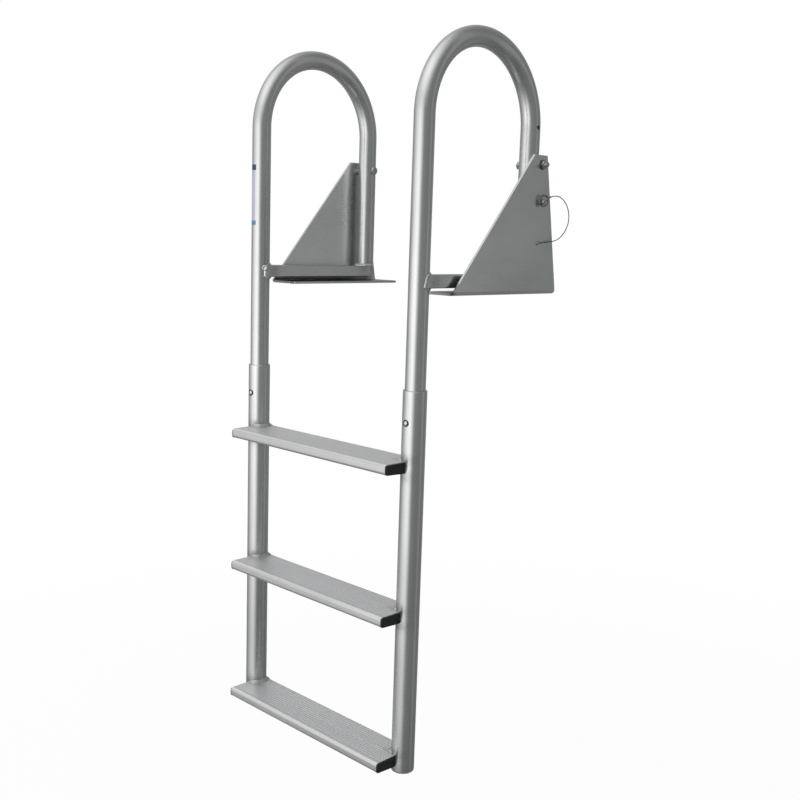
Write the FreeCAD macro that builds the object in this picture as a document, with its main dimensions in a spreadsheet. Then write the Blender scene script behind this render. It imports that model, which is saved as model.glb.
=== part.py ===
import FreeCAD, Part
import Sketcher
import math
import os

# Swing-up dock ladder: two hoop handrails telescoped into two lower rails,
# three hollow extruded steps, and a pair of gusset brackets that bolt to the
# deck. The frame has its origin on the underside of the right bracket's foot,
# X across the ladder, Y towards the deck, Z up.

doc = FreeCAD.newDocument("DockLadder")
sheet = doc.addObject("Spreadsheet::Sheet", "Dims")

SIZES = [
    # rails and hoops
    ("rail_pitch", 452.0, "distance between the two rails, axis to axis"),
    ("upper_od", 38.1, "handrail tube, outside diameter"),
    ("upper_wall", 2.4, "handrail tube wall"),
    ("lower_od", 44.45, "lower rail tube, outside diameter"),
    ("telescope_clearance", 0.15, "handrail in lower rail, radial"),
    ("loop_depth", 300.0, "front leg axis to rear leg axis"),
    ("handrail_height", 483.5, "top of the hoops above the deck face"),
    ("joint_drop", 169.5, "top of the lower rails below the deck face"),
    ("insert_length", 120.0, "handrail inside the lower rail"),
    ("rail_lip_chamfer", 1.2, "chamfer on the lower rail's top edge"),
    ("rail_tail", 31.0, "lower rail below the bottom step's tread"),
    # steps
    ("top_step_drop", 299.5, "top tread below the deck face"),
    ("step_spacing", 285.0, "tread to tread"),
    ("step_end_inset", 2.0, "step end plane inside the rail axis"),
    ("nose_reach", 70.0, "front of the nose ahead of the rail axis"),
    ("rear_reach", 21.3, "rear of the step behind the rail axis"),
    ("front_depth", 19.5, "step depth at the nose"),
    ("rear_depth", 24.5, "step depth at the rear"),
    ("step_wall", 2.4, "extrusion wall"),
    ("web_thick", 2.0, "web between the two chambers"),
    ("web_setback", 44.0, "web behind the nose"),
    ("nose_radius", 6.0, "rounding of the nose"),
    ("rear_radius", 1.5, "rounding of the rear edges"),
    ("groove_width", 2.0, "tread groove width"),
    ("groove_depth", 0.9, "tread groove depth"),
    ("groove_pitch", 6.35, "tread groove spacing"),
    ("groove_count", 13, "tread grooves"),
    ("groove_start", 10.5, "first groove behind the nose"),
    ("weld_gap", 0.2, "coped end to tube, radial"),
    ("cap_thick", 2.0, "end cap flange"),
    ("cap_lip", 2.2, "end cap below the tread surface"),
    ("cap_margin", 0.5, "end cap inside the nose"),
    ("cap_plug", 12.0, "end cap plug into the chamber"),
    ("cap_clearance", 0.2, "end cap plug to chamber"),
    # stay bars
    ("bar_width", 38.0, "stay bar across"),
    ("bar_height", 24.0, "stay bar height"),
    ("bar_wall", 2.4, "stay bar wall"),
    ("bar_corner", 2.0, "rounding of the stay bar's long edges"),
    ("bar_clearance", 8.5, "stay bar above the foot plate"),
    ("bar_end_flat", 0.5, "half width left flat on the bar's rounded end"),
    ("plug_depth", 26.0, "bar plug inside the bar"),
    ("plug_clearance", 0.2, "plug to bore"),
    ("rail_plug_flange", 3.0, "rail foot plug flange"),
    ("rail_plug_inset", 0.4, "rail foot plug flange inside the rail's side"),
    ("rail_plug_chamfer", 1.2, "chamfer on the rail foot plug"),
    ("rail_plug_depth", 18.0, "rail foot plug inside the rail"),
    # brackets
    ("foot_width", 76.0, "bracket foot across"),
    ("foot_length", 304.0, "bracket foot front to rear"),
    ("sheet_thick", 5.0, "bracket sheet thickness"),
    ("fold_radius", 4.0, "bracket fold, inside radius"),
    ("plate_crown", 18.0, "gusset plate above the hinge axis"),
    ("plate_heel", 15.5, "gusset plate's top edge behind the hinge axis"),
    ("plate_top_width", 39.0, "gusset plate's top edge"),
    ("foot_corner", 5.0, "rounding of the foot's free corners"),
    ("hinge_gap", 9.0, "rear leg side to gusset plate"),
    ("hinge_setback", 61.5, "hinge axis ahead of the foot's rear edge"),
    ("pivot_height", 247.5, "hinge axis above the deck face"),
    ("foot_hole", 9.0, "deck fastener hole"),
    ("foot_hole_across", 44.0, "deck holes, spacing across"),
    ("foot_hole_along", 240.0, "deck holes, spacing along"),
    # hinge bolt set
    ("bolt_dia", 9.5, "hinge bolt"),
    ("bolt_fit", 0.1, "hinge bolt in its holes, radial"),
    ("bolt_head_flats", 14.3, "bolt head and nut across flats"),
    ("bolt_head_height", 6.2, "bolt head height"),
    ("head_gap", 0.3, "bolt head and spacer to the swinging leg"),
    ("spacer_od", 14.0, "spacer outside diameter"),
    ("washer_od", 19.0, "washer outside diameter"),
    ("washer_thick", 1.6, "washer thickness"),
    ("nut_height", 6.0, "nut height"),
    ("bolt_stub", 6.0, "bolt past the nut"),
    ("bolt_chamfer", 1.0, "chamfer on the bolt's end"),
    # lock pin
    ("lock_offset", 70.0, "lock hole below and above the hinge axis"),
    ("pin_dia", 8.0, "lock pin"),
    ("pin_fit", 0.15, "lock pin in its holes, radial"),
    ("pin_tip", 3.8, "pin tip past the inner face of the plate"),
    ("pin_collar", 13.0, "pin collar diameter"),
    ("collar_thick", 2.5, "pin collar thickness"),
    ("pin_boss", 9.0, "pin boss diameter"),
    ("boss_length", 9.0, "pin boss length"),
    ("pin_chamfer", 1.0, "chamfers on the pin"),
    ("ring_od", 24.0, "pull ring outside diameter"),
    ("ring_wire", 2.4, "pull ring wire"),
    ("ring_stand", 6.8, "pull ring centre above the plate"),
    ("ring_tilt", 18.0, "pull ring turned about the vertical"),
    # rail bolts
    ("rail_bolt_drop", 59.0, "rail bolt below the joint"),
    ("rail_bolt_dia", 6.35, "rail bolt"),
    ("rail_bolt_head", 13.5, "rail bolt head diameter"),
    ("rail_bolt_dome", 3.4, "rail bolt head height"),
    ("rail_bolt_bevel", 1.8, "bevel round the rail bolt head"),
    ("rail_nut_dia", 10.0, "round rail nut, diameter"),
    ("rail_nut_height", 1.8, "round rail nut, height"),
    ("rail_nut_bevel", 0.6, "bevel round the rail nut"),
    # lanyard
    ("wire_dia", 1.6, "lanyard wire"),
    ("ferrule_dia", 3.2, "lanyard ferrule"),
    ("ferrule_length", 8.0, "lanyard ferrule length"),
    ("eyelet_od", 9.0, "lanyard eyelet"),
    ("eyelet_thick", 1.2, "lanyard eyelet thickness"),
    ("rivet_dia", 4.0, "lanyard rivet shank"),
    ("rivet_head", 7.5, "lanyard rivet head"),
    ("rivet_dome", 2.0, "lanyard rivet head height"),
    ("rivet_bevel", 1.0, "bevel round the rivet head"),
    ("rivet_tail", 6.4, "upset tail of the rivet, diameter"),
    ("rivet_tail_height", 1.2, "upset tail of the rivet, height"),
    ("rivet_ahead", 3.3, "rivet ahead of the lock pin"),
    ("rivet_below", 78.5, "rivet below the lock pin"),
]

for row, (name, number, note) in enumerate(SIZES, start=1):
    sheet.set("A%d" % row, name)
    sheet.set("B%d" % row, str(number))
    sheet.setAlias("B%d" % row, name)
    sheet.set("C%d" % row, note)
doc.recompute()


class Size:
    """A length with the sheet expression that gives it."""

    def __init__(self, value, text):
        self.value = float(value)
        self.text = text

    def _with(self, other, sign, value):
        return Size(value, "(%s %s %s)" % (self.text, sign, other.text))

    def __add__(self, other):
        other = size(other)
        return self._with(other, "+", self.value + other.value)

    def __sub__(self, other):
        other = size(other)
        return self._with(other, "-", self.value - other.value)

    def __mul__(self, other):
        other = size(other)
        return self._with(other, "*", self.value * other.value)

    def __truediv__(self, other):
        other = size(other)
        return self._with(other, "/", self.value / other.value)

    def __neg__(self):
        return Size(-self.value, "(-1 * %s)" % self.text)


def size(number):
    return number if isinstance(number, Size) else Size(number, repr(float(number)))


class Dims:
    pass


d = Dims()
for name, number, note in SIZES:
    setattr(d, name, Size(number, "Dims.%s" % name))

NODES = []


def bind(obj, prop, length):
    obj.setExpression(prop, size(length).text)


def place(obj, x, y, z):
    for axis, length in zip("xyz", (x, y, z)):
        bind(obj, "Placement.Base.%s" % axis, length)


def new_body(label, x, y, z):
    body = doc.addObject("PartDesign::Body", label)
    body.Label = label
    place(body, x, y, z)
    NODES.append(body)
    return body


def new_sketch(body, name, plane, offset=None):
    sketch = body.newObject("Sketcher::SketchObject", "%s_%s" % (body.Name, name))
    origin = [f for f in body.Origin.OriginFeatures if f.Role == plane + "_Plane"][0]
    sketch.AttachmentSupport = [(origin, "")]
    sketch.MapMode = "FlatFace"
    if offset is not None:
        bind(sketch, "AttachmentOffset.Base.z", offset)
    return sketch


def fix_point(sketch, geo, pos, x, y):
    for kind, length, axis in (("DistanceX", x, -2), ("DistanceY", y, -1)):
        if length is None:
            continue
        length = size(length)
        if length.value == 0.0 and "Dims" not in length.text:
            sketch.addConstraint(Sketcher.Constraint("PointOnObject", geo, pos, axis))
        else:
            number = sketch.addConstraint(
                Sketcher.Constraint(kind, -1, 1, geo, pos, length.value))
            bind(sketch, "Constraints[%d]" % number, length)


def outline(sketch, points):
    points = [(size(x), size(y)) for x, y in points]
    first = sketch.GeometryCount
    count = len(points)
    for i in range(count):
        a = points[i]
        b = points[(i + 1) % count]
        sketch.addGeometry(Part.LineSegment(
            FreeCAD.Vector(a[0].value, a[1].value, 0),
            FreeCAD.Vector(b[0].value, b[1].value, 0)))
    for i in range(count):
        after = first + (i + 1) % count
        sketch.addConstraint(Sketcher.Constraint("Coincident", first + i, 2, after, 1))
    for i, (x, y) in enumerate(points):
        fix_point(sketch, first + i, 1, x, y)


def circle(sketch, x, y, diameter):
    x, y, diameter = size(x), size(y), size(diameter)
    geo = sketch.addGeometry(Part.Circle(
        FreeCAD.Vector(x.value, y.value, 0), FreeCAD.Vector(0, 0, 1), diameter.value / 2))
    number = sketch.addConstraint(Sketcher.Constraint("Diameter", geo, diameter.value))
    bind(sketch, "Constraints[%d]" % number, diameter)
    fix_point(sketch, geo, 3, x, y)


def pad(body, sketch, length, reverse=False, both=False):
    feature = body.newObject("PartDesign::Pad", sketch.Name + "_pad")
    feature.Profile = sketch
    feature.Type = "Length"
    if both:
        feature.SideType = "Symmetric"
    feature.Reversed = reverse
    bind(feature, "Length", length)
    doc.recompute()
    return feature


def cut_through(body, sketch):
    before = body.Shape.Volume
    feature = body.newObject("PartDesign::Pocket", sketch.Name + "_cut")
    feature.Profile = sketch
    feature.SideType = "Symmetric"
    feature.Type = "ThroughAll"
    doc.recompute()
    if not body.Shape.Volume < before:
        raise RuntimeError("%s cuts nothing" % feature.Name)
    return feature


def cylinder(body, name, plane, offset, diameter, length, reverse=False, bore=None):
    sketch = new_sketch(body, name, plane, offset)
    circle(sketch, 0, 0, diameter)
    if bore is not None:
        circle(sketch, 0, 0, bore)
    return pad(body, sketch, length, reverse)


def hexagon(body, name, plane, offset, flats, length, reverse=False, bore=None):
    flats = size(flats)
    corner = flats / math.sqrt(3)
    half = flats / 2
    sketch = new_sketch(body, name, plane, offset)
    outline(sketch, [(corner, 0), (corner / 2, half), (-(corner / 2), half),
                     (-corner, 0), (-(corner / 2), -half), (corner / 2, -half)])
    if bore is not None:
        circle(sketch, 0, 0, bore)
    return pad(body, sketch, length, reverse)


def dress(body, kind, radius, wanted):
    """Fillet or chamfer the edges of the body's tip whose middle is wanted."""
    tip = body.Tip
    names = []
    for i, edge in enumerate(tip.Shape.Edges, start=1):
        middle = edge.valueAt((edge.FirstParameter + edge.LastParameter) / 2)
        if wanted(edge, middle):
            names.append("Edge%d" % i)
    if not names:
        raise RuntimeError("%s has no edge for its %s" % (body.Name, kind))
    feature = body.newObject("PartDesign::" + kind, "%s_%s" % (body.Name, kind))
    feature.Base = (tip, names)
    bind(feature, "Radius" if kind == "Fillet" else "Size", radius)
    doc.recompute()
    return feature


def near(a, b):
    return abs(a - b) < 0.01


def chamfer_end(body, size_of, at):
    """Chamfer the outer edges of the body's newest face across X."""
    dress(body, "Chamfer", size_of, lambda edge, mid: near(mid.x, at.value))


# Places that several pieces share.
right_x = d.foot_width / 2 - d.sheet_thick - d.hinge_gap - d.upper_od / 2
left_x = right_x - d.rail_pitch
middle_x = right_x - d.rail_pitch / 2
pivot_y = d.foot_length / 2 - d.hinge_setback
rail_y = pivot_y - d.loop_depth
bar_bottom = d.sheet_thick + d.bar_clearance
bar_top = bar_bottom + d.bar_height
rail_bottom = -(d.top_step_drop + d.step_spacing * 2 + d.rail_tail)
bolt_z = -(d.joint_drop + d.rail_bolt_drop)
SIDES = [("left", left_x, -1), ("right", right_x, 1)]


# Handrails: one tube each, bent over the top into a hoop whose rear leg
# stands on the stay bar. The hoop turns on a bolt through its rear leg.
def handrail(label, x, sign):
    body = new_body(label, x, rail_y, 0)
    bottom = -(d.joint_drop + d.insert_length)
    radius = d.loop_depth / 2
    arch = d.handrail_height - d.upper_od / 2 - radius
    path = new_sketch(body, "path", "YZ")
    points = [(size(0), bottom), (size(0), arch), (d.loop_depth, arch), (d.loop_depth, bar_top)]
    a, b, c, e = [FreeCAD.Vector(p.value, q.value, 0) for p, q in points]
    path.addGeometry(Part.LineSegment(a, b))
    path.addGeometry(Part.Arc(b, FreeCAD.Vector(radius.value, arch.value + radius.value, 0), c))
    path.addGeometry(Part.LineSegment(c, e))
    start = 1 if path.getPoint(1, 1).distanceToPoint(b) < 0.001 else 2
    path.addConstraint(Sketcher.Constraint("Coincident", 0, 2, 1, start))
    path.addConstraint(Sketcher.Constraint("Coincident", 1, 3 - start, 2, 1))
    fix_point(path, 0, 1, 0, bottom)
    fix_point(path, 0, 2, 0, arch)
    fix_point(path, 2, 1, d.loop_depth, arch)
    fix_point(path, 2, 2, d.loop_depth, bar_top)
    fix_point(path, 1, 3, None, arch)
    ring = new_sketch(body, "section", "XY", bottom)
    circle(ring, 0, 0, d.upper_od)
    circle(ring, 0, 0, d.upper_od - d.upper_wall * 2)
    doc.recompute()
    tube = body.newObject("PartDesign::AdditivePipe", label + "_tube")
    tube.Profile = ring
    tube.Spine = (path, ["Edge1", "Edge2", "Edge3"])
    doc.recompute()
    cross = new_sketch(body, "cross_holes", "YZ")
    circle(cross, d.loop_depth, d.pivot_height, d.bolt_dia + d.bolt_fit * 2)
    if sign > 0:
        for height in (d.pivot_height - d.lock_offset, d.pivot_height + d.lock_offset):
            circle(cross, d.loop_depth, height, d.pin_dia + d.pin_fit * 2)
    cut_through(body, cross)
    front = new_sketch(body, "bolt_hole", "XZ")
    circle(front, 0, bolt_z, d.rail_bolt_dia + d.bolt_fit * 2)
    cut_through(body, front)


# Lower rails: larger tubes that take the handrails in at the top.
def lower_rail(label, x):
    body = new_body(label, x, rail_y, 0)
    ring = new_sketch(body, "section", "XY", rail_bottom)
    circle(ring, 0, 0, d.lower_od)
    circle(ring, 0, 0, d.upper_od + d.telescope_clearance * 2)
    pad(body, ring, -d.joint_drop - rail_bottom)
    dress(body, "Chamfer", d.rail_lip_chamfer,
          lambda edge, mid: near(mid.z, -d.joint_drop.value)
          and near(edge.Curve.Radius, d.lower_od.value / 2))
    front = new_sketch(body, "bolt_hole", "XZ")
    circle(front, 0, bolt_z, d.rail_bolt_dia + d.bolt_fit * 2)
    cut_through(body, front)


def rail_plug(label, x):
    body = new_body(label, x, rail_y, rail_bottom)
    across = d.lower_od - d.rail_plug_inset * 2
    cylinder(body, "flange", "XY", None, across, d.rail_plug_flange, reverse=True)
    dress(body, "Chamfer", d.rail_plug_chamfer,
          lambda edge, mid: near(mid.z, -d.rail_plug_flange.value))
    bore = d.upper_od + d.telescope_clearance * 2
    cylinder(body, "plug", "XY", None, bore - d.plug_clearance * 2, d.rail_plug_depth)


# Rail bolts: domed heads at the front, low round nuts behind, through both
# tubes. Each bolt ends flush in its nut.
def rail_bolt(side, x):
    body = new_body(side + "_rail_bolt", x, rail_y, bolt_z)
    seat = d.lower_od / 2
    cylinder(body, "head", "XZ", seat, d.rail_bolt_head, d.rail_bolt_dome)
    dress(body, "Chamfer", d.rail_bolt_bevel,
          lambda edge, mid: near(mid.y, -(seat + d.rail_bolt_dome).value))
    shank = d.lower_od + d.rail_nut_height
    cylinder(body, "shank", "XZ", seat, d.rail_bolt_dia, shank, reverse=True)
    nut = new_body(side + "_rail_nut", x, rail_y + d.lower_od / 2, bolt_z)
    cylinder(nut, "disc", "XZ", None, d.rail_nut_dia, d.rail_nut_height, reverse=True,
             bore=d.rail_bolt_dia + d.bolt_fit * 2)
    dress(nut, "Chamfer", d.rail_nut_bevel,
          lambda edge, mid: near(mid.y, d.rail_nut_height.value)
          and near(edge.Curve.Radius, d.rail_nut_dia.value / 2))


# Stay bars: rectangular tube from the front leg to the rear leg's foot,
# coped round the front leg. The rear end is rounded like the leg that stands
# on it, and a plug closes it flush.
def round_end(body, half, at):
    """Round the upright edges of a bar's or a plug's rear end, seen from above."""
    dress(body, "Fillet", half - d.bar_end_flat,
          lambda edge, mid: near(abs(mid.x), half.value) and near(mid.y, at.value)
          and near(mid.z, d.bar_height.value / 2))


def stay_bar(side, x):
    body = new_body(side + "_stay_bar", x, rail_y, bar_bottom)
    half = d.bar_width / 2
    wall = d.bar_wall
    length = d.loop_depth + d.upper_od / 2
    section = new_sketch(body, "section", "XZ")
    outline(section, [(-half, 0), (half, 0), (half, d.bar_height), (-half, d.bar_height)])
    pad(body, section, length, reverse=True)
    round_end(body, half, length)
    dress(body, "Fillet", d.bar_corner,
          lambda edge, mid: near(abs(mid.x), half.value)
          and (near(mid.z, 0) or near(mid.z, d.bar_height.value))
          and near(abs(edge.tangentAt(edge.FirstParameter).y), 1))
    bore = new_sketch(body, "bore", "XZ")
    outline(bore, [(-half + wall, wall), (half - wall, wall),
                   (half - wall, d.bar_height - wall), (-half + wall, d.bar_height - wall)])
    cut_through(body, bore)
    cope = new_sketch(body, "cope", "XY")
    circle(cope, 0, 0, d.upper_od + d.weld_gap * 2)
    cut_through(body, cope)
    plug = new_body(side + "_bar_plug", x, pivot_y + d.upper_od / 2, bar_bottom)
    block = new_sketch(plug, "block", "XZ")
    outline(block, [(-half, 0), (half, 0), (half, d.bar_height), (-half, d.bar_height)])
    pad(plug, block, d.plug_depth)
    round_end(plug, half, size(0))
    gap = wall + d.plug_clearance
    trim = new_sketch(plug, "trim", "XZ")
    outline(trim, [(-half - wall, -wall), (half + wall, -wall),
                   (half + wall, d.bar_height + wall), (-half - wall, d.bar_height + wall)])
    outline(trim, [(-half + gap, gap), (half - gap, gap),
                   (half - gap, d.bar_height - gap), (-half + gap, d.bar_height - gap)])
    cut_through(plug, trim)


# Steps: hollow extrusions, deeper at the rear than at the nose, with a web
# between two chambers and fine grooves along the tread.
slope = (d.rear_depth - d.front_depth) / (d.nose_reach + d.rear_reach)


def underside(y, lift):
    return -(d.front_depth + slope * (size(y) + d.nose_reach)) + lift


def step(label, level):
    drop = -(d.top_step_drop + d.step_spacing * level)
    body = new_body(label, middle_x, rail_y, drop)
    front = -d.nose_reach
    rear = d.rear_reach
    section = new_sketch(body, "section", "YZ")
    outline(section, [(front, 0), (front, -d.front_depth), (rear, -d.rear_depth), (rear, 0)])
    pad(body, section, d.rail_pitch - d.step_end_inset * 2, both=True)
    dress(body, "Fillet", d.nose_radius,
          lambda edge, mid: near(mid.x, 0) and near(mid.y, front.value))
    dress(body, "Fillet", d.rear_radius,
          lambda edge, mid: near(mid.x, 0) and near(mid.y, rear.value))
    wall = d.step_wall
    web_front = front + d.web_setback
    web_rear = web_front + d.web_thick
    chambers = new_sketch(body, "chambers", "YZ")
    outline(chambers, nose_chamber(size(0)))
    outline(chambers, [(web_rear, -wall), (web_rear, underside(web_rear, wall)),
                       (rear - wall, underside(rear - wall, wall)), (rear - wall, -wall)])
    cut_through(body, chambers)
    groove = new_sketch(body, "groove", "YZ")
    near_side = front + d.groove_start
    far_side = near_side + d.groove_width
    outline(groove, [(near_side, -d.groove_depth), (far_side, -d.groove_depth),
                     (far_side, d.groove_depth), (near_side, d.groove_depth)])
    first = cut_through(body, groove)
    rows = body.newObject("PartDesign::LinearPattern", label + "_grooves")
    rows.Originals = [first]
    rows.Direction = (groove, ["H_Axis"])
    bind(rows, "Length", d.groove_pitch * (d.groove_count - 1))
    bind(rows, "Occurrences", d.groove_count)
    body.Tip = rows
    doc.recompute()
    notches = new_sketch(body, "rail_notches", "XY")
    for x in (-(d.rail_pitch / 2), d.rail_pitch / 2):
        circle(notches, x, 0, d.lower_od + d.weld_gap * 2)
    cut_through(body, notches)
    for side, sign in (("left", -1), ("right", 1)):
        end_cap(label + "_cap_" + side, sign, drop)


def nose_chamber(gap):
    """Front chamber of the step, drawn in by a gap."""
    front = -d.nose_reach + d.step_wall + gap
    top = -d.step_wall - gap
    web = -d.nose_reach + d.web_setback - gap
    bend = d.nose_radius
    lift = d.step_wall + gap
    return [(front, -bend), (front, underside(front, lift) + bend / 2),
            (front + bend / 2, underside(front + bend / 2, lift)),
            (web, underside(web, lift)), (web, top), (-d.nose_reach + bend, top)]


# End caps: a flange over the open end of the extrusion, below the tread's
# lip, on a plug that fills the front chamber; both are notched for the rail.
def end_cap(label, sign, drop):
    end = d.rail_pitch / 2 - d.step_end_inset
    body = new_body(label, middle_x + end * sign, rail_y, drop)
    front = -d.nose_reach + d.cap_margin
    rear = -(d.lower_od / 4)  # inside the rail's notch, which trims it
    flange = new_sketch(body, "flange", "YZ")
    outline(flange, [(front, -d.cap_lip), (front, -d.front_depth),
                     (rear, underside(rear, 0)), (rear, -d.cap_lip)])
    pad(body, flange, d.cap_thick, reverse=sign < 0)
    dress(body, "Fillet", d.nose_radius - d.cap_margin,
          lambda edge, mid: near(mid.y, front.value) and near(mid.x, sign * d.cap_thick.value / 2))
    plug = new_sketch(body, "plug", "YZ")
    outline(plug, nose_chamber(d.cap_clearance))
    pad(body, plug, d.cap_plug, reverse=sign > 0)
    notch = new_sketch(body, "rail_notch", "XY")
    circle(notch, d.step_end_inset * sign, 0, d.lower_od + d.weld_gap * 2)
    cut_through(body, notch)


# Brackets: one sheet folded into a flat foot that bolts to the deck and an
# upright gusset plate on its outer edge. The plate is cut to a raked triangle
# round the hinge bolt. The right one also carries the lock pin.
plate_top = d.pivot_height + d.plate_crown


def bracket(label, sign):
    centre = size(0) if sign > 0 else middle_x * 2
    body = new_body(label, centre, 0, 0)
    edge = d.foot_width / 2 * sign
    inner = (d.foot_width / 2 - d.sheet_thick) * sign
    fore = -(d.foot_length / 2)
    aft = d.foot_length / 2
    fold = new_sketch(body, "fold", "XZ")
    outline(fold, [(-edge, 0), (edge, 0), (edge, plate_top), (inner, plate_top),
                   (inner, d.sheet_thick), (-edge, d.sheet_thick)])
    pad(body, fold, d.foot_length, both=True)
    for x, z, radius in ((inner, d.sheet_thick, d.fold_radius),
                         (edge, size(0), d.fold_radius + d.sheet_thick)):
        dress(body, "Fillet", radius,
              lambda line, mid: near(mid.x, x.value) and near(mid.z, z.value)
              and near(mid.y, 0))
    top_rear = pivot_y + d.plate_heel
    top_front = top_rear - d.plate_top_width
    trim = new_sketch(body, "plate_trim", "YZ")
    outline(trim, [(fore, d.sheet_thick), (top_front, plate_top), (fore, plate_top)])
    outline(trim, [(aft, d.sheet_thick), (aft, plate_top), (top_rear, plate_top)])
    cut_through(body, trim)
    dress(body, "Fillet", d.foot_corner,
          lambda line, mid: near(mid.x, -edge.value) and near(mid.z, d.sheet_thick.value / 2))
    holes = new_sketch(body, "deck_holes", "XY")
    for x in (-(d.foot_hole_across / 2), d.foot_hole_across / 2):
        for y in (-(d.foot_hole_along / 2), d.foot_hole_along / 2):
            circle(holes, x, y, d.foot_hole)
    cut_through(body, holes)
    cross = new_sketch(body, "cross_holes", "YZ")
    circle(cross, pivot_y, d.pivot_height, d.bolt_dia + d.bolt_fit * 2)
    if sign > 0:
        circle(cross, pivot_y, d.pivot_height - d.lock_offset, d.pin_dia + d.pin_fit * 2)
        circle(cross, pivot_y + rivet_y, d.pivot_height - d.lock_offset + rivet_z,
               d.rivet_dia + d.bolt_fit * 2)
    cut_through(body, cross)


# Hinge bolt set, on each side: hex bolt from inside, spacer, washer and nut.
def hinge_set(side, x, sign):
    flip = sign < 0
    leg = d.upper_od / 2
    bore = d.bolt_dia + d.bolt_fit * 2
    head_face = leg + d.head_gap
    body = new_body(side + "_hinge_bolt", x, pivot_y, d.pivot_height)
    hexagon(body, "head", "YZ", -head_face * sign, d.bolt_head_flats, d.bolt_head_height,
            reverse=not flip)
    reach = leg + d.hinge_gap + d.sheet_thick + d.washer_thick + d.nut_height + d.bolt_stub
    cylinder(body, "shank", "YZ", -head_face * sign, d.bolt_dia, head_face + reach, reverse=flip)
    chamfer_end(body, d.bolt_chamfer, reach * sign)
    spacer = new_body(side + "_hinge_spacer", x, pivot_y, d.pivot_height)
    cylinder(spacer, "sleeve", "YZ", head_face * sign, d.spacer_od, d.hinge_gap - d.head_gap,
             reverse=flip, bore=bore)
    outer = leg + d.hinge_gap + d.sheet_thick
    washer = new_body(side + "_hinge_washer", x, pivot_y, d.pivot_height)
    cylinder(washer, "disc", "YZ", outer * sign, d.washer_od, d.washer_thick,
             reverse=flip, bore=bore)
    nut = new_body(side + "_hinge_nut", x, pivot_y, d.pivot_height)
    hexagon(nut, "hex", "YZ", (outer + d.washer_thick) * sign, d.bolt_head_flats,
            d.nut_height, reverse=flip, bore=bore)


# Lanyard rivet, measured from the lock pin along the plate.
rivet_y = -d.rivet_ahead
rivet_z = -d.rivet_below
plate_outer = d.foot_width / 2
lock_z = d.pivot_height - d.lock_offset

for side, x, sign in SIDES:
    handrail(side + "_handrail", x, sign)
    lower_rail(side + "_lower_rail", x)
    rail_plug(side + "_rail_plug", x)
    rail_bolt(side, x)
    stay_bar(side, x)
    bracket(side + "_bracket", sign)
    hinge_set(side, x, sign)
for level, name in enumerate(("top_step", "middle_step", "bottom_step")):
    step(name, level)

# Lock pin: collar against the plate, boss for the pull ring, shank through the
# plate. It is drawn back so that its tip stands clear of the swinging leg.
pin = new_body("lock_pin", plate_outer, pivot_y, lock_z)
cylinder(pin, "collar", "YZ", None, d.pin_collar, d.collar_thick)
chamfer_end(pin, d.pin_chamfer, d.collar_thick)
cylinder(pin, "boss", "YZ", None, d.pin_boss, d.collar_thick + d.boss_length)
chamfer_end(pin, d.pin_chamfer, d.collar_thick + d.boss_length)
cylinder(pin, "shank", "YZ", None, d.pin_dia, d.sheet_thick + d.pin_tip, reverse=True)
chamfer_end(pin, d.pin_chamfer, -(d.sheet_thick + d.pin_tip))
bore = new_sketch(pin, "ring_bore", "XZ")
bore.AttachmentOffset = FreeCAD.Placement(
    FreeCAD.Vector(0, 0, 0), FreeCAD.Rotation(FreeCAD.Vector(0, 1, 0), -d.ring_tilt.value))
bind(bore, "AttachmentOffset.Base.x", d.ring_stand)
circle(bore, 0, 0, d.ring_wire + d.pin_fit * 2)
cut_through(pin, bore)

# Pull ring: a wire ring on a cross wire through the pin's boss.
hoop = doc.addObject("Part::Torus", "ring_hoop")
bind(hoop, "Radius1", d.ring_od / 2 - d.ring_wire / 2)
bind(hoop, "Radius2", d.ring_wire / 2)
hoop.Placement.Rotation = FreeCAD.Rotation(FreeCAD.Vector(0, 1, 0), 90)
bar = doc.addObject("Part::Cylinder", "ring_bar")
bind(bar, "Radius", d.ring_wire / 2)
bind(bar, "Height", d.ring_od - d.ring_wire)
bar.Placement.Rotation = FreeCAD.Rotation(FreeCAD.Vector(1, 0, 0), -90)
bind(bar, "Placement.Base.y", -(d.ring_od - d.ring_wire) / 2)
ring = doc.addObject("Part::Fuse", "lock_pin_ring")
ring.Base = hoop
ring.Tool = bar
ring.Label = "lock_pin_ring"
ring.Placement.Rotation = FreeCAD.Rotation(FreeCAD.Vector(0, 0, 1), -d.ring_tilt.value)
place(ring, plate_outer + d.ring_stand, pivot_y, lock_z)
NODES.append(ring)

# Lanyard rivet: domed head outside, upset tail inside the plate.
rivet = new_body("lanyard_rivet", plate_outer, pivot_y + rivet_y, lock_z + rivet_z)
cylinder(rivet, "head", "YZ", d.eyelet_thick, d.rivet_head, d.rivet_dome)
chamfer_end(rivet, d.rivet_bevel, d.eyelet_thick + d.rivet_dome)
cylinder(rivet, "shank", "YZ", d.eyelet_thick, d.rivet_dia,
         d.eyelet_thick + d.sheet_thick, reverse=True)
cylinder(rivet, "tail", "YZ", -d.sheet_thick, d.rivet_tail, d.rivet_tail_height, reverse=True)

# Lanyard: a wire from the pull ring round to the plate. Its points are
# measured from the pin, out of the plate, back and up.
ROUTE = [(11.1, 17.1, 10.2), (12.5, 33.0, 14.0), (14.2, 54.0, 8.0), (15.0, 71.0, -9.0),
         (14.8, 77.0, -31.0), (13.0, 70.0, -53.0), (10.2, 51.5, -70.5),
         (6.2, 29.0, -76.2), (3.1, 8.6, -77.6)]
route = [FreeCAD.Vector(*point) for point in ROUTE]


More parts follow.
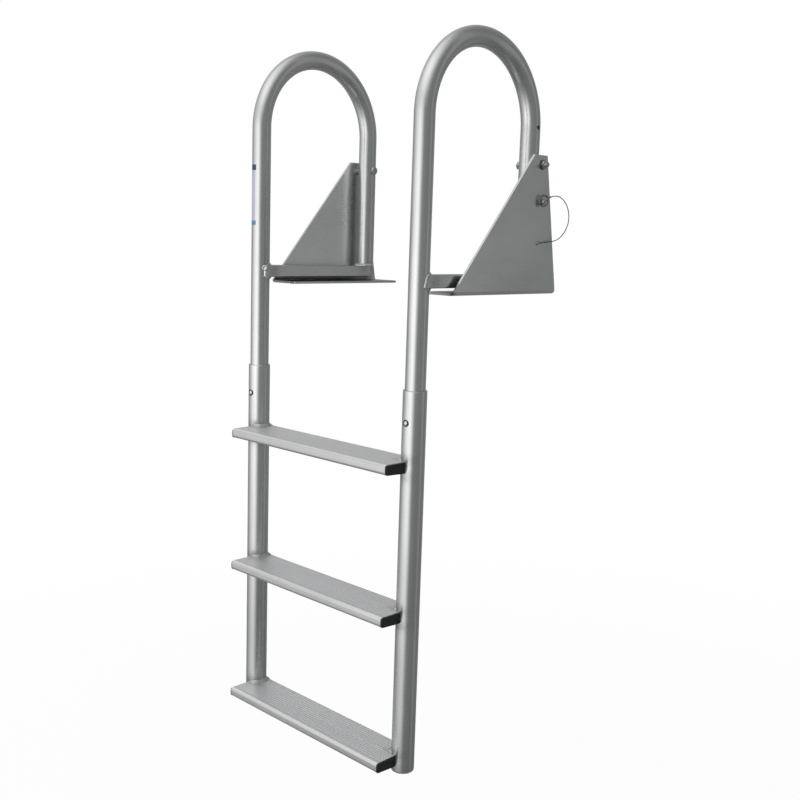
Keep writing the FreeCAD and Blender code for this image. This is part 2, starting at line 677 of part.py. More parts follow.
def cord_path(points, share=0.45):
    """Straight runs joined by tangent arcs, each as large as its runs allow."""
    edges = []
    start = points[0]
    for before, here, after in zip(points, points[1:], points[2:]):
        back = before - here
        ahead = after - here
        cut = share * min(back.Length, ahead.Length)
        back.normalize()
        ahead.normalize()
        turn = math.pi - back.getAngle(ahead)
        radius = cut / math.tan(turn / 2)
        first = here + back * cut
        last = here + ahead * cut
        middle = back + ahead
        middle.normalize()
        rise = (radius * radius + cut * cut) ** 0.5 - radius
        edges.append(Part.LineSegment(start, first).toShape())
        edges.append(Part.Arc(first, here + middle * rise, last).toShape())
        print("lanyard bend radius %.1f mm" % radius)
        start = last
    edges.append(Part.LineSegment(start, points[-1]).toShape())
    return Part.Wire(edges)


anchor = FreeCAD.Vector(plate_outer.value, pivot_y.value, lock_z.value)
path = cord_path(route)
heading = route[1] - route[0]
disc = Part.Wire([Part.Circle(route[0], heading, d.wire_dia.value / 2).toShape()])
lanyard = doc.addObject("Part::Feature", "lanyard")
lanyard.Label = "lanyard"
lanyard.Shape = path.makePipeShell([disc], True, False)
place(lanyard, plate_outer, pivot_y, lock_z)
NODES.append(lanyard)
wire_area = math.pi * (d.wire_dia.value / 2) ** 2
print("lanyard length %.1f mm, volume over section times length %.4f" % (
    path.Length, lanyard.Shape.Volume / (wire_area * path.Length)))


def ferrule(name, tip, direction):
    """Sleeve on one end of the wire, from its end face outwards."""
    sleeve = doc.addObject("Part::Cylinder", name)
    bind(sleeve, "Radius", d.ferrule_dia / 2)
    bind(sleeve, "Height", d.ferrule_length)
    sleeve.Placement.Base = tip
    sleeve.Placement.Rotation = FreeCAD.Rotation(FreeCAD.Vector(0, 0, 1), direction)
    return sleeve


upper = ferrule("lanyard_ring_ferrule", route[0], route[0] - route[1])
upper.Label = "lanyard_ring_ferrule"
upper.Placement.Base = FreeCAD.Vector(0, 0, 0)
place(upper, plate_outer + ROUTE[0][0], pivot_y + ROUTE[0][1], lock_z + ROUTE[0][2])
NODES.append(upper)
lower = ferrule("lanyard_sleeve", route[-1], route[-1] - route[-2])
eye = doc.addObject("Part::Cylinder", "lanyard_eye")
bind(eye, "Radius", d.eyelet_od / 2)
bind(eye, "Height", d.eyelet_thick)
hole = doc.addObject("Part::Cylinder", "lanyard_eye_hole")
bind(hole, "Radius", d.rivet_dia / 2 + d.bolt_fit)
bind(hole, "Height", d.foot_width)
bind(hole, "Placement.Base.x", -d.foot_width / 2)
for disc in (eye, hole):
    disc.Placement.Rotation = FreeCAD.Rotation(FreeCAD.Vector(0, 1, 0), 90)
    disc.Placement.Base.y = rivet_y.value
    disc.Placement.Base.z = rivet_z.value
both = doc.addObject("Part::Fuse", "lanyard_eye_and_sleeve")
both.Base = lower
both.Tool = eye
tab = doc.addObject("Part::Cut", "lanyard_plate_ferrule")
tab.Base = both
tab.Tool = hole
tab.Label = "lanyard_plate_ferrule"
place(tab, plate_outer, pivot_y, lock_z)
NODES.append(tab)
doc.recompute()

failed = []
for obj in doc.Objects:
    if "Invalid" in obj.State or "Error" in obj.State:
        failed.append("%s: %s" % (obj.Name, obj.State))
for obj in NODES:
    if obj.Shape.isNull() or not obj.Shape.isValid() or obj.Shape.Volume <= 0:
        failed.append("%s: bad shape" % obj.Label)
if failed:
    raise RuntimeError("; ".join(failed))

os.makedirs("parts", exist_ok=True)
for obj in NODES:
    obj.Shape.exportStep("parts/%s.step" % obj.Label)
    box = obj.Shape.BoundBox
    print("%-24s %d solid %10.0f mm3  x %.1f..%.1f  y %.1f..%.1f  z %.1f..%.1f" % (
        obj.Label, len(obj.Shape.Solids), obj.Shape.Volume,
        box.XMin, box.XMax, box.YMin, box.YMax, box.ZMin, box.ZMax))
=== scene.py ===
import bpy
import numpy as np
from math import cos, pi, radians, sin
from mathutils import Matrix, Vector


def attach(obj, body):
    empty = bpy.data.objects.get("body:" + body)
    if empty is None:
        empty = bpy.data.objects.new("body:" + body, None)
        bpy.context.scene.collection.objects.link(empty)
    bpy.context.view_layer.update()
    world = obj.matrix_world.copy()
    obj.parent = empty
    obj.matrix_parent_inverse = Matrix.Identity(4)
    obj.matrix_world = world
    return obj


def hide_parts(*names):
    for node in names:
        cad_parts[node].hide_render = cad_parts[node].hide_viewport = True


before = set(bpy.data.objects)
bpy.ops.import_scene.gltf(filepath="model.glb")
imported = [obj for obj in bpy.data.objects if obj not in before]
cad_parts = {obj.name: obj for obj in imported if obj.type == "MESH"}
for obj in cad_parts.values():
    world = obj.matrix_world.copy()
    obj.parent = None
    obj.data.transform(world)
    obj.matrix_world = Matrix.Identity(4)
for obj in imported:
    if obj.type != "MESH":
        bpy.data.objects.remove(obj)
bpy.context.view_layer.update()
scene = bpy.context.scene
scene.view_settings.view_transform = "Standard"


# Camera: stands a little above deck level, ahead of the ladder and to its
# right, tipped slightly down, with a normal lens.
camera_place = (1.28788, -1.57725, 0.09789)
camera_yaw, camera_dip, camera_roll = 0.7837240, -0.1600307, 0.0293434
ahead = Vector((-sin(camera_yaw) * cos(camera_dip), cos(camera_yaw) * cos(camera_dip),
                sin(camera_dip)))
level = Vector((cos(camera_yaw), sin(camera_yaw), 0))
upward = level.cross(ahead)
across = level * cos(camera_roll) + upward * sin(camera_roll)
top = upward * cos(camera_roll) - level * sin(camera_roll)
camera_data = bpy.data.cameras.new("camera")
camera_data.sensor_width = 36
camera_data.lens = 47.16
camera_data.shift_x = 0.02097
camera_data.shift_y = 0.01039
camera = bpy.data.objects.new("camera", camera_data)
scene.collection.objects.link(camera)
camera.location = camera_place
camera.rotation_euler = Matrix((across, top, -ahead)).transposed().to_euler("XYZ")
scene.camera = camera


# Studio: a white floor under the hanging ladder, one large soft box to the
# front left for what is painted or moulded, and a tent round the set whose
# cloth glows in bands: that is what the metal mirrors.
room_colour, floor_colour = (0.60, 0.61, 0.62, 1), (0.86, 0.86, 0.86, 1)
white = (1, 1, 1, 1)
floor_level, floor_reach = -1.32, 14.0
clear_from, clear_to, shadow_share = 1.5, 3.5, 0.95
set_middle = np.array((-0.22, -0.10, -0.25))
box_bearing, box_distance, box_power = radians(-12.5), 2.2, 1.2
box_width, box_height, box_centre = 4.5, 2.9, 0.35
tent_radius, tent_step = 5.0, 3
dim_tint, bright_tint = (0.968, 1.0, 0.997, 1), (1.0, 0.997, 0.997, 1)


class Wire:
    """One socket of a node. An expression on wires and numbers adds its Math nodes."""

    def __init__(self, tree, socket):
        self.tree, self.socket = tree, socket

    def math(self, operation, *values):
        """One Math node on wires or numbers."""
        made = self.tree.nodes.new("ShaderNodeMath")
        made.operation = operation
        for socket, value in zip(made.inputs, values):
            feed(self.tree, socket, value)
        return Wire(self.tree, made.outputs[0])

    def __add__(self, other):
        return self.math("ADD", self, other)

    def __sub__(self, other):
        return self.math("SUBTRACT", self, other)

    def __rsub__(self, other):
        return self.math("SUBTRACT", other, self)

    def __mul__(self, other):
        return self.math("MULTIPLY", self, other)

    __radd__, __rmul__ = __add__, __mul__


def feed(tree, socket, value):
    """Link a wire to a socket, or set the socket's own value."""
    if isinstance(value, Wire):
        tree.links.new(value.socket, socket)
    else:
        socket.default_value = value


class Board:
    """The node tree of a material or a world."""

    def __init__(self, owner):
        owner.use_nodes = True
        self.owner, self.tree = owner, owner.node_tree

    def node(self, kind, settings=None, values=None, out=0):
        """A node from its type, its settings, its sockets' values and the output to use."""
        made = self.tree.nodes.new("ShaderNode" + kind)
        for key, value in (settings or {}).items():
            setattr(made, key, value)
        for key, value in (values or {}).items():
            feed(self.tree, made.inputs[key], value)
        return Wire(self.tree, made.outputs[out])

    def painted(self, name):
        """A number from 0 to 1 that the mesh keeps at each of its points."""
        return self.node("Attribute", {"attribute_name": name}, out="Fac")

    def white_where_seen(self, share, plain):
        """The plain shader, and pure white by a share where a camera, glossy or transmitted
        ray meets it."""
        rays = [self.node("LightPath", out=name)
                for name in ("Is Camera Ray", "Is Glossy Ray", "Is Transmission Ray")]
        seen = rays[0].math("MAXIMUM", rays[0].math("MAXIMUM", rays[0], rays[1]), rays[2])
        kind = "Background" if self.owner == scene.world else "Emission"
        glow = self.node(kind, values={"Color": white, "Strength": 1.0})
        return self.node("MixShader", values={0: seen * share, 1: plain, 2: glow})

    def surface(self, shader):
        """Let a shader be what the tree's output shows."""
        ends = [n for n in self.tree.nodes if n.bl_idname.startswith("ShaderNodeOutput")]
        feed(self.tree, ends[0].inputs["Surface"], shader)


def add_object(name, data):
    """A new object in the scene, at the origin."""
    made = bpy.data.objects.new(name, data)
    scene.collection.objects.link(made)
    return made


def weave(rows, columns, wrap_rows=False, wrap_columns=False):
    """Quads of a grid of points: each joins a point, the next along its row, and the two
    beside them in the next row. A wrapped direction also joins its last points to its
    first."""
    row = np.arange(rows if wrap_rows else rows - 1)[:, None]
    column = np.arange(columns if wrap_columns else columns - 1)[None, :]
    after, beside = (row + 1) % rows, (column + 1) % columns
    corners = (row * columns + column, row * columns + beside, after * columns + beside,
               after * columns + column)
    return np.stack([c + 0 * row for c in corners], -1).reshape(-1, 4)


def heading(turn, rise):
    """The way that a bearing and a rise in degrees point; bearing 0 is straight in front and
    90 to the right."""
    turn, rise = np.radians(turn), np.radians(rise)
    return np.stack([np.sin(turn) * np.cos(rise), -np.cos(turn) * np.cos(rise), np.sin(rise)], -1)


def ease(value, low, high):
    """0 below low, 1 above high, and a smooth rise between."""
    share = np.clip((value - low) / (high - low), 0, 1)
    return share * share * (3 - 2 * share)


def set_piece(name, points, quads, glow=None):
    """A piece of the set with a material of its own, and its glow at each point."""
    mesh = bpy.data.meshes.new(name)
    mesh.from_pydata(points, [], quads)
    if glow is not None:
        mesh.attributes.new("glow", "FLOAT", "POINT").data.foreach_set(
            "value", glow.ravel().astype(np.float32))
    paint = bpy.data.materials.new(name)
    mesh.materials.append(paint)
    return add_object(name, mesh), Board(paint)


scene.world = bpy.data.worlds.new("studio")
air = Board(scene.world)
room_light = air.node("Background", values={"Color": room_colour, "Strength": 1.0})
air.surface(air.white_where_seen(1.0, room_light))

floor, paint = set_piece("studio_floor", [
    (-floor_reach, -floor_reach, floor_level), (floor_reach, -floor_reach, floor_level),
    (floor_reach, floor_reach, floor_level), (-floor_reach, floor_reach, floor_level)],
    [(0, 1, 2, 3)])
place = paint.node("TexCoord", out="Object")
away = paint.node("VectorMath", {"operation": "LENGTH"}, {0: place}, out="Value")
share = paint.node("MapRange", {"interpolation_type": "SMOOTHSTEP"}, {
    "Value": away, "From Min": clear_from, "From Max": clear_to, "To Min": shadow_share,
    "To Max": 1.0})
paint.surface(paint.white_where_seen(
    share, paint.node("BsdfDiffuse", values={"Color": floor_colour})))
floor.visible_glossy = False

soft_box = bpy.data.lights.new("soft_box", "AREA")
soft_box.shape = "RECTANGLE"
soft_box.size, soft_box.size_y = box_width, box_height
soft_box.energy = box_power * pi * box_width * box_height
lamp = add_object("soft_box", soft_box)
lamp.location = (set_middle[0] + box_distance * sin(box_bearing),
                 set_middle[1] - box_distance * cos(box_bearing), box_centre)
lamp.rotation_euler = (radians(90), 0, box_bearing)
lamp.visible_camera = lamp.visible_glossy = False

# The tent's glow by bearing and rise: dim walls all round that fall off
# downwards and are lighter high up on the left, a tall bright window in front,
# and over it a soft round ceiling light.
turned_by, raised_by = np.meshgrid(np.arange(-180, 180, tent_step), np.arange(-87, 88, tent_step))
ways_out = heading(turned_by, raised_by)
walls = np.interp(turned_by, (-180, -150, -110, -80, 50, 110, 131, 136, 142, 155, 180),
                  (0.31, 0.29, 0.36, 0.38, 0.30, 0.245, 0.49, 0.30, 0.178, 0.29, 0.31))
walls = walls * (1 - 0.35 * ease(-raised_by, 5, 45))
walls = walls + 0.28 * ease(raised_by, 5, 30) * np.interp(
    turned_by, (-180, -150, -110, -60, -20), (0, 0.6, 1, 1, 0))
window = np.interp(turned_by, (-80, -55, -25, -8, 6, 18, 30, 45),
                   (0, 0.37, 1.0, 1.18, 1.40, 1.12, 0.56, 0))
window = window * np.interp(raised_by, (-60, -45, -30, -15, 0, 25, 50),
                            (0, 0.06, 0.45, 1.04, 1.22, 0.64, 0.19))
off_ceiling = np.degrees(np.arccos(np.clip(ways_out @ heading(0, 55), -1, 1)))
ceiling = 1.25 * ease(-off_ceiling, -60, 0)
tent, paint = set_piece(
    "studio_tent", (set_middle + tent_radius * ways_out).reshape(-1, 3).tolist(),
    weave(*turned_by.shape, wrap_columns=True).tolist(), walls + np.maximum(window, ceiling))
glow = paint.painted("glow")
bright = paint.node("MapRange", values={"Value": glow, "From Min": 0.35, "From Max": 1.0})
tint = paint.node("Mix", {"data_type": "RGBA"}, {0: bright, 6: dim_tint, 7: bright_tint}, out=2)
paint.surface(paint.node("Emission", values={"Color": tint, "Strength": glow}))
tent.visible_camera = tent.visible_diffuse = tent.visible_shadow = False
tent.visible_transmission = False


# Lanyard: a thin stainless wire rope that keeps the pull ring with its
# bracket. Six strands are laid round each other and swaged into a sleeve at
# each end; the lower sleeve's eye is riveted to the plate.
lock_pin_place = np.array((0.038, 0.0905, 0.1775))
lanyard_guides = lock_pin_place + np.array([
    (11.1, 17.1, 10.2), (12.5, 33.0, 14.0), (14.2, 54.0, 8.0), (15.0, 71.0, -9.0),
    (14.8, 77.0, -31.0), (13.0, 70.0, -53.0), (10.2, 51.5, -70.5), (6.2, 29.0, -76.2),
    (3.1, 8.6, -77.6)]) / 1000
line_points = 180
rope_diameter = 0.0019
strand_count, strand_sides = 6, 8
strand_radius, strand_lay = rope_diameter / 2 / 3, 0.011
sleeve_radius, sleeve_length = 0.0018, 0.008
crimps, crimp_depth, swaged_flat, end_draw = 5, 0.10, 0.10, 0.25
rivet_place = lock_pin_place + np.array((0, -3.3, -78.5)) / 1000
eye_profile = [(0.0022, 0.0001), (0.0043, 0.0), (0.0045, 0.0003), (0.0045, 0.0009),
               (0.0043, 0.0012), (0.0022, 0.0012)]
plate_way = (1, 0, 0)


def smooth_line(name, guides):
    """Evenly spaced points on the NURBS line that a few guide points pull along, and its
    length."""
    data = bpy.data.curves.new(name, "CURVE")
    data.dimensions = "3D"
    spline = data.splines.new("NURBS")
    spline.points.add(len(guides) - 1)
    spline.points.foreach_set("co", np.column_stack([guides, np.ones(len(guides))]).ravel())
    spline.order_u = 3
    spline.use_endpoint_u = True
    data.resolution_u = 32
    carrier = bpy.data.objects.new(name, data)
    made = bpy.data.meshes.new_from_object(carrier)
    line = np.zeros(len(made.vertices) * 3)
    made.vertices.foreach_get("co", line)
    line = line.reshape(-1, 3)
    bpy.data.objects.remove(carrier)
    bpy.data.meshes.remove(made)
    run = np.concatenate([[0], np.cumsum(np.linalg.norm(np.diff(line, axis=0), axis=1))])
    even = np.linspace(0, run[-1], line_points)
    return np.stack([np.interp(even, run, line[:, k]) for k in range(3)], -1), run[-1]


def unit(vectors):
    """Vectors divided by their lengths."""
    return vectors / np.linalg.norm(vectors, axis=-1, keepdims=True)


def around(count):
    """So many angles, evenly round a circle."""
    return 2 * pi * np.arange(count) / count


def ringed(rows, columns, closed=False, first=0):
    """Faces of a stack of rings whose points are numbered from first. A closed stack joins its
    last ring to its first, and an open one gets a flat face at each end."""
    last = first + (rows - 1) * columns
    ends = [range(first, first + columns)[::-1], range(last, last + columns)]
    return (weave(rows, columns, closed, True) + first).tolist() + (
        [] if closed else [list(end) for end in ends])


def make_piece(name, points, faces, body, slot, finish, stands_for=(), grain=None, crease=35,
               extra=None):
    """A named piece on a body: points and faces in the frame's metres, a finish, and for each
    point its grain, which is where it was in the straight stock, with the third number along
    the way the stock was drawn."""
    mesh = bpy.data.meshes.new(name)
    mesh.from_pydata(points.tolist(), [], faces if isinstance(faces, list) else faces.tolist())
    grain = points if grain is None else grain
    mesh.attributes.new("grain", "FLOAT_VECTOR", "POINT").data.foreach_set(
        "vector", np.asarray(grain, np.float32).ravel())
    for key, values in (extra or {}).items():
        mesh.attributes.new(key, "FLOAT", "POINT").data.foreach_set(
            "value", np.asarray(values, np.float32).ravel())
    mesh.shade_smooth()
    mesh.set_sharp_from_angle(angle=radians(crease))
    mesh.materials.append(finish)
    made = add_object(name, mesh)
    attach(made, body)
    if stands_for:
        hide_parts(*stands_for)
    return made


class Finish(Board):
    """A material, with its surface shader and patterns on the piece's grain."""

    def __init__(self, name):
        super().__init__(bpy.data.materials.new(name))
        self.shader = self.tree.nodes["Principled BSDF"]
        self.grain = self.node("Attribute", {"attribute_name": "grain"}, out="Vector")

    def speckle(self, *per_metre, detail=2.0, roughness=0.5):
        """Noise from 0 to 1, with so many cells a metre along each direction of the grain, or
        one number for all three."""
        cells = per_metre * 3 if len(per_metre) == 1 else per_metre
        place = self.node("VectorMath", {"operation": "MULTIPLY"}, {0: self.grain, 1: cells})
        return self.node("TexNoise", values={"Vector": place, "Scale": 1.0, "Detail": detail,
                                             "Roughness": roughness})

    def between(self, share, low, high):
        """A colour from low to high, by a share from 0 to 1."""
        return self.node("Mix", {"data_type": "RGBA"}, {0: share, 6: low, 7: high}, out=2)

    def smooth(self, value, low, high):
        """0 below low, 1 above high and a smooth rise between."""
        return self.node("MapRange", {"interpolation_type": "SMOOTHSTEP"},
                         {"Value": value, "From Min": low, "From Max": high})

    def relief(self, height, depth):
        """Normals of a surface raised by height from 0 to 1 times a depth in metres."""
        return self.node("Bump", values={"Height": height, "Distance": depth, "Strength": 1.0})

    def dress(self, **values):
        """Set the surface shader's sockets; an underscore in a name stands for a space."""
        for key, value in values.items():
            feed(self.tree, self.shader.inputs[key.replace("_", " ")], value)
        return self.owner


def stainless(name, colour, rough):
    """Plain stainless steel: faint drawn lines, a cloudy dulling and small pits."""
    finish = Finish(name)
    lines = finish.speckle(2500, 2500, 150)
    cloud = finish.speckle(160, detail=3)
    dull = tuple(c * 0.72 for c in colour[:3]) + (1,)
    return finish.dress(
        Base_Color=finish.between(finish.smooth(cloud * 0.7 + lines * 0.3, 0.3, 0.7), dull, colour),
        Metallic=1.0, Roughness=rough + cloud * 0.16 + lines * 0.08,
        Normal=finish.relief(lines * 0.6 + cloud, 0.00003))


def turned(profile, columns=48, closed=False, reach=None):
    """Points and faces of a shape turned about the Z axis. The profile is rows of radius and
    height, going up its outside; each becomes a circle of points, or what reach makes of the
    radius, height and angle. A closed profile joins its last row to its first, and an open
    one gets a flat face at each end."""
    profile = np.asarray(profile, float)
    rows = len(profile)
    angle = around(columns)
    radius, height = [np.broadcast_to(profile[:, k:k + 1], (rows, columns)) for k in (0, 1)]
    if reach is not None:
        radius = reach(radius, height, angle[None, :])
    points = np.stack([radius * np.cos(angle), radius * np.sin(angle), height], -1)
    return points.reshape(-1, 3), ringed(rows, columns, closed)


def stand(shape, place, axis, first=None):
    """Turn a shape of points and faces so that its Z runs along an axis and its X along first,
    and carry it to a place."""
    points, faces = shape
    axis = unit(np.asarray(axis, float))
    if first is None:
        first = (0, 0, 1) if abs(axis[2]) < 0.9 else (1, 0, 0)
    first = np.asarray(first, float)
    first = unit(first - axis * (first @ axis))
    return np.asarray(place) + points @ np.array([first, np.cross(axis, first), axis]), faces


def fit_piece(name, shape, place, axis, body, slot, finish, stands_for=(), first=None):
    """A piece from a shape made upright, with its grain as it was made, stood on its place."""
    return make_piece(name, *stand(shape, place, axis, first), body, slot, finish, stands_for,
                      grain=shape[0])


def facing_out(points, faces):
    """The same faces, turned round if the tetrahedra from the origin to their triangles add
    up to a negative volume."""
    fan = np.array([(f[0], f[k], f[k + 1]) for f in faces for k in range(1, len(f) - 1)])
    first, second, third = (points[fan[:, k]] for k in range(3))
    outward = np.sum(first * np.cross(second, third)) > 0
    return faces if outward else [face[::-1] for face in faces]


def joined(parts):
    """Several shapes of points and faces as one, each facing out."""
    points, faces = [], []
    for some, theirs in parts:
        start = sum(len(p) for p in points)
        faces += [[j + start for j in face] for face in facing_out(some, theirs)]
        points.append(some)
    return np.concatenate(points), faces


line, lanyard_length = smooth_line("lanyard_guide", lanyard_guides)
run_along = unit(np.gradient(line, axis=0))
side_way = unit(np.array((1.0, 0, 0)) - run_along * run_along[:, :1])
other_way = np.cross(run_along, side_way)
travel = np.linspace(0, lanyard_length, line_points)
lay = 2 * pi * travel / strand_lay + around(strand_count)[:, None]
middle = line + (rope_diameter / 2 - strand_radius) * (
    np.cos(lay)[..., None] * side_way + np.sin(lay)[..., None] * other_way)
strand_x, strand_y = [strand_radius * wave(around(strand_sides)) for wave in (np.cos, np.sin)]
points = middle[:, :, None, :] + (strand_x[:, None] * side_way[:, None, :]
                                  + strand_y[:, None] * other_way[:, None, :])
grain = np.stack(np.broadcast_arrays(
    strand_x, strand_y,
    travel[None, :, None] + 0.3 * np.arange(strand_count)[:, None, None]), -1)
# The sides of all strands come first, then their ends.
strands = [ringed(line_points, strand_sides, first=k * line_points * strand_sides)
           for k in range(strand_count)]
faces = ([side for strand in strands for side in strand[:-2]]
         + [strand[end] for end in (-2, -1) for strand in strands])
rope_finish = stainless("lanyard_wire", (0.20, 0.205, 0.205, 1), 0.34)
lanyard = make_piece("lanyard_rope", points.reshape(-1, 3), faces, "brackets", "fastener_steel",
                     rope_finish, ["lanyard"], grain=grain.reshape(-1, 3))

up_sleeve = np.linspace(0, 1, 41)
crimped = (crimp_depth * np.sin(pi * up_sleeve * crimps) ** 4
           * (up_sleeve > 0.1) * (up_sleeve < 0.9))
drawn_in = end_draw * np.abs(2 * up_sleeve - 1) ** 14
sleeve = turned(
    np.column_stack([sleeve_radius * (1 - crimped - drawn_in), sleeve_length * up_sleeve]), 24,
    reach=lambda r, h, a: r * (1 - swaged_flat * np.abs(np.sin(a)) ** 3))
sleeve_finish = stainless("swaged_sleeve", (0.40, 0.41, 0.41, 1), 0.36)
upper_sleeve = fit_piece(
    "lanyard_upper_sleeve", sleeve, lanyard_guides[0], lanyard_guides[0] - lanyard_guides[1],
    "brackets", "fastener_steel", sleeve_finish, ["lanyard_ring_ferrule"])
lower_sleeve = make_piece("lanyard_lower_sleeve", *joined([
    stand(sleeve, lanyard_guides[-1], lanyard_guides[-1] - lanyard_guides[-2]),
    stand(turned(eye_profile, 40, closed=True), rivet_place, plate_way)]),
    "brackets", "fastener_steel", sleeve_finish, ["lanyard_plate_ferrule"])


# Handrails: one length of 38 mm aluminium tube each, bent over the top into a
# hoop, satin anodised. The rear leg stands on the stay bar; on the right side
# it is cross drilled for the lock pin, ladder down and ladder up.
rail_x = {"left": -0.44705, "right": 0.00495}
inward = {"left": 1, "right": -1}
front_leg_y, rear_leg_y = -0.2095, 0.0905
handrail_radius, handrail_wall = 0.01905, 0.0024
handrail_foot, arch_spring, hoop_radius = -0.2895, 0.31445, 0.150
squeeze_turn, squeeze_wide, squeeze_thin = 0.35, 0.010, 0.018
bar_low, bar_top = 0.0135, 0.0375
hinge_z, lock_z, upper_lock_z = 0.2475, 0.1775, 0.3175
lock_hole_radius, near_hole, hole_step = 0.00415, 0.007, 0.0011
satin_light, satin_dark = (0.61, 0.617, 0.615, 1), (0.505, 0.512, 0.51, 1)
soot_and_shade_colour = (0.10, 0.10, 0.095, 1)
bore_scale = 0.9


def walled(outer, inner, gone=None, wrap=False):
    """Close two matching grids of points into one wall. The outer grid's faces stay, the
    inner grid's are turned round, and each edge that only one kept face uses, round the rim
    and round each hole, gets a face through the wall. Returns the points, the faces, and the
    points' numbers in the two grids, one after the other."""
    rows, columns = outer.shape[:2]
    quads = weave(rows, columns, wrap_columns=wrap)
    if gone is not None:
        quads = quads[~gone]
    count = rows * columns
    edges = np.concatenate([quads[:, [k, (k + 1) % 4]] for k in range(4)])
    forward, backward = edges @ (count, 1), edges @ (1, count)
    rim = edges[~np.isin(backward, forward)]
    rim_faces = np.column_stack([rim[:, 1], rim[:, 0], rim[:, 0] + count, rim[:, 1] + count])
    used, faces = np.unique(np.concatenate([quads, quads[:, ::-1] + count, rim_faces]),
                            return_inverse=True)
    points = np.concatenate([outer.reshape(-1, 3), inner.reshape(-1, 3)])[used]
    return points, faces.reshape(-1, 4), used


def grid(*axes):
    """Points of a grid from rows and columns of numbers for their X, Y and Z."""
    return np.stack(np.broadcast_arrays(*axes), -1)


def satin_aluminium(name, light, dark, rough):
    """Satin anodised aluminium: fine lines along the drawn stock, soft clouds, a few scuffs, and a
    smoky stain where the piece has soot, which on the stay bars' undersides is painted shade."""
    finish = Finish(name)
    lines = finish.speckle(1400, 1400, 9, detail=3, roughness=0.6)
    cloud = finish.speckle(22, 22, 7, detail=4)
    fine = finish.speckle(900)
    scuff = finish.smooth(finish.speckle(60, 60, 25, detail=6, roughness=0.7), 0.60, 0.72)
    tone = finish.smooth(cloud * 0.5 + lines * 0.4 + fine * 0.1, 0.28, 0.72)
    mottle = finish.smooth(finish.speckle(220, detail=4), 0.25, 0.75)
    # Weld soot, and painted shade on the stay bars' undersides, darken the colour.
    stain_and_shade = finish.painted("soot_and_shade") * (0.35 + mottle * 0.65)
    return finish.dress(
        Base_Color=finish.between(stain_and_shade, finish.between(tone, dark, light), soot_and_shade_colour),
        Metallic=0.96, Roughness=rough + cloud * 0.05 + lines * 0.07 + scuff * 0.05 + fine * 0.02,
        Normal=finish.relief(lines * 0.7 + fine * 0.2 + scuff * 0.1, 0.000010))


def spread(*parts):
    """One rising list of the given stretches, each a start, an end and a step."""
    return np.unique(np.concatenate([
        np.linspace(a, b, max(2, int(round((b - a) / step)) + 1)) for a, b, step in parts
    ]).round(6))


def hoop_skin(x, radius):
    """The hoop's skin: at each place along its middle line a ring of points, a little wider
    across and thinner in the bend's own plane where the tube was bent."""
    wide = radius * (1 + squeeze_wide * squeezed)[:, None]
    thin = radius * (1 - squeeze_thin * squeezed)[:, None]
    out_y, out_z = np.cos(bend)[:, None], -np.sin(bend)[:, None]
    return grid(x + wide * np.cos(ring_turn), hoop_y[:, None] + thin * np.sin(ring_turn) * out_y,
                hoop_z[:, None] + thin * np.sin(ring_turn) * out_z)


def cut_round(skins, flat_axes, centre, radius, near, wrap=False, settle=None):
    """Open a round hole in matching skins, seen flat along two of their axes: faces with
    three corners inside it go, and the points on the border move onto the circle. settle
    then gives those points their depth. Returns which faces go."""
    flat = skins[0].reshape(-1, 3)
    quads = weave(*skins[0].shape[:2], wrap_columns=wrap)
    inside = (np.linalg.norm(flat[:, flat_axes] - centre, axis=1) < radius) & near(flat)
    cut = inside[quads].sum(1) >= 3
    border = np.intersect1d(quads[cut], quads[~cut])
    for skin in skins:
        points = skin.reshape(-1, 3)
        old, ring = points[border], points[border]
        away = ring[:, flat_axes] - centre
        ring[:, flat_axes] = centre + away * (radius / np.linalg.norm(away, axis=1))[:, None]
        points[border] = ring if settle is None else settle(old, ring)
    return cut


def weld_soot(points, places, reach):
    """How sooty each point is: 1 at a weld, and falling off with the distance over its
    reach."""
    nearest = np.min([np.linalg.norm((points - p) / reach, axis=-1) for p in places], axis=0)
    return np.exp(-nearest ** 2)


arch_length = pi * hoop_radius
front_length = arch_spring - handrail_foot
arch_end = front_length + arch_length
lock_run, upper_lock_run = [arch_end + arch_spring - z for z in (lock_z, upper_lock_z)]
tube_run = spread(
    (0, front_length, 0.0125), (front_length, arch_end, 0.004),
    (arch_end, arch_end + arch_spring - bar_top, 0.006),
    *[(run - near_hole, run + near_hole, hole_step) for run in (upper_lock_run, lock_run)])
bend = np.clip((tube_run - front_length) / hoop_radius, 0, pi)
hoop_y = front_leg_y + hoop_radius * (1 - np.cos(bend))
hoop_z = (handrail_foot + np.minimum(tube_run, front_length) + hoop_radius * np.sin(bend)
          - np.clip(tube_run - arch_end, 0, None))
ring_turn = around(96)
squeezed = np.clip(np.minimum(bend, pi - bend) / squeeze_turn, 0, 1)
rail_finish = satin_aluminium("satin_tube", satin_light, satin_dark, 0.19)

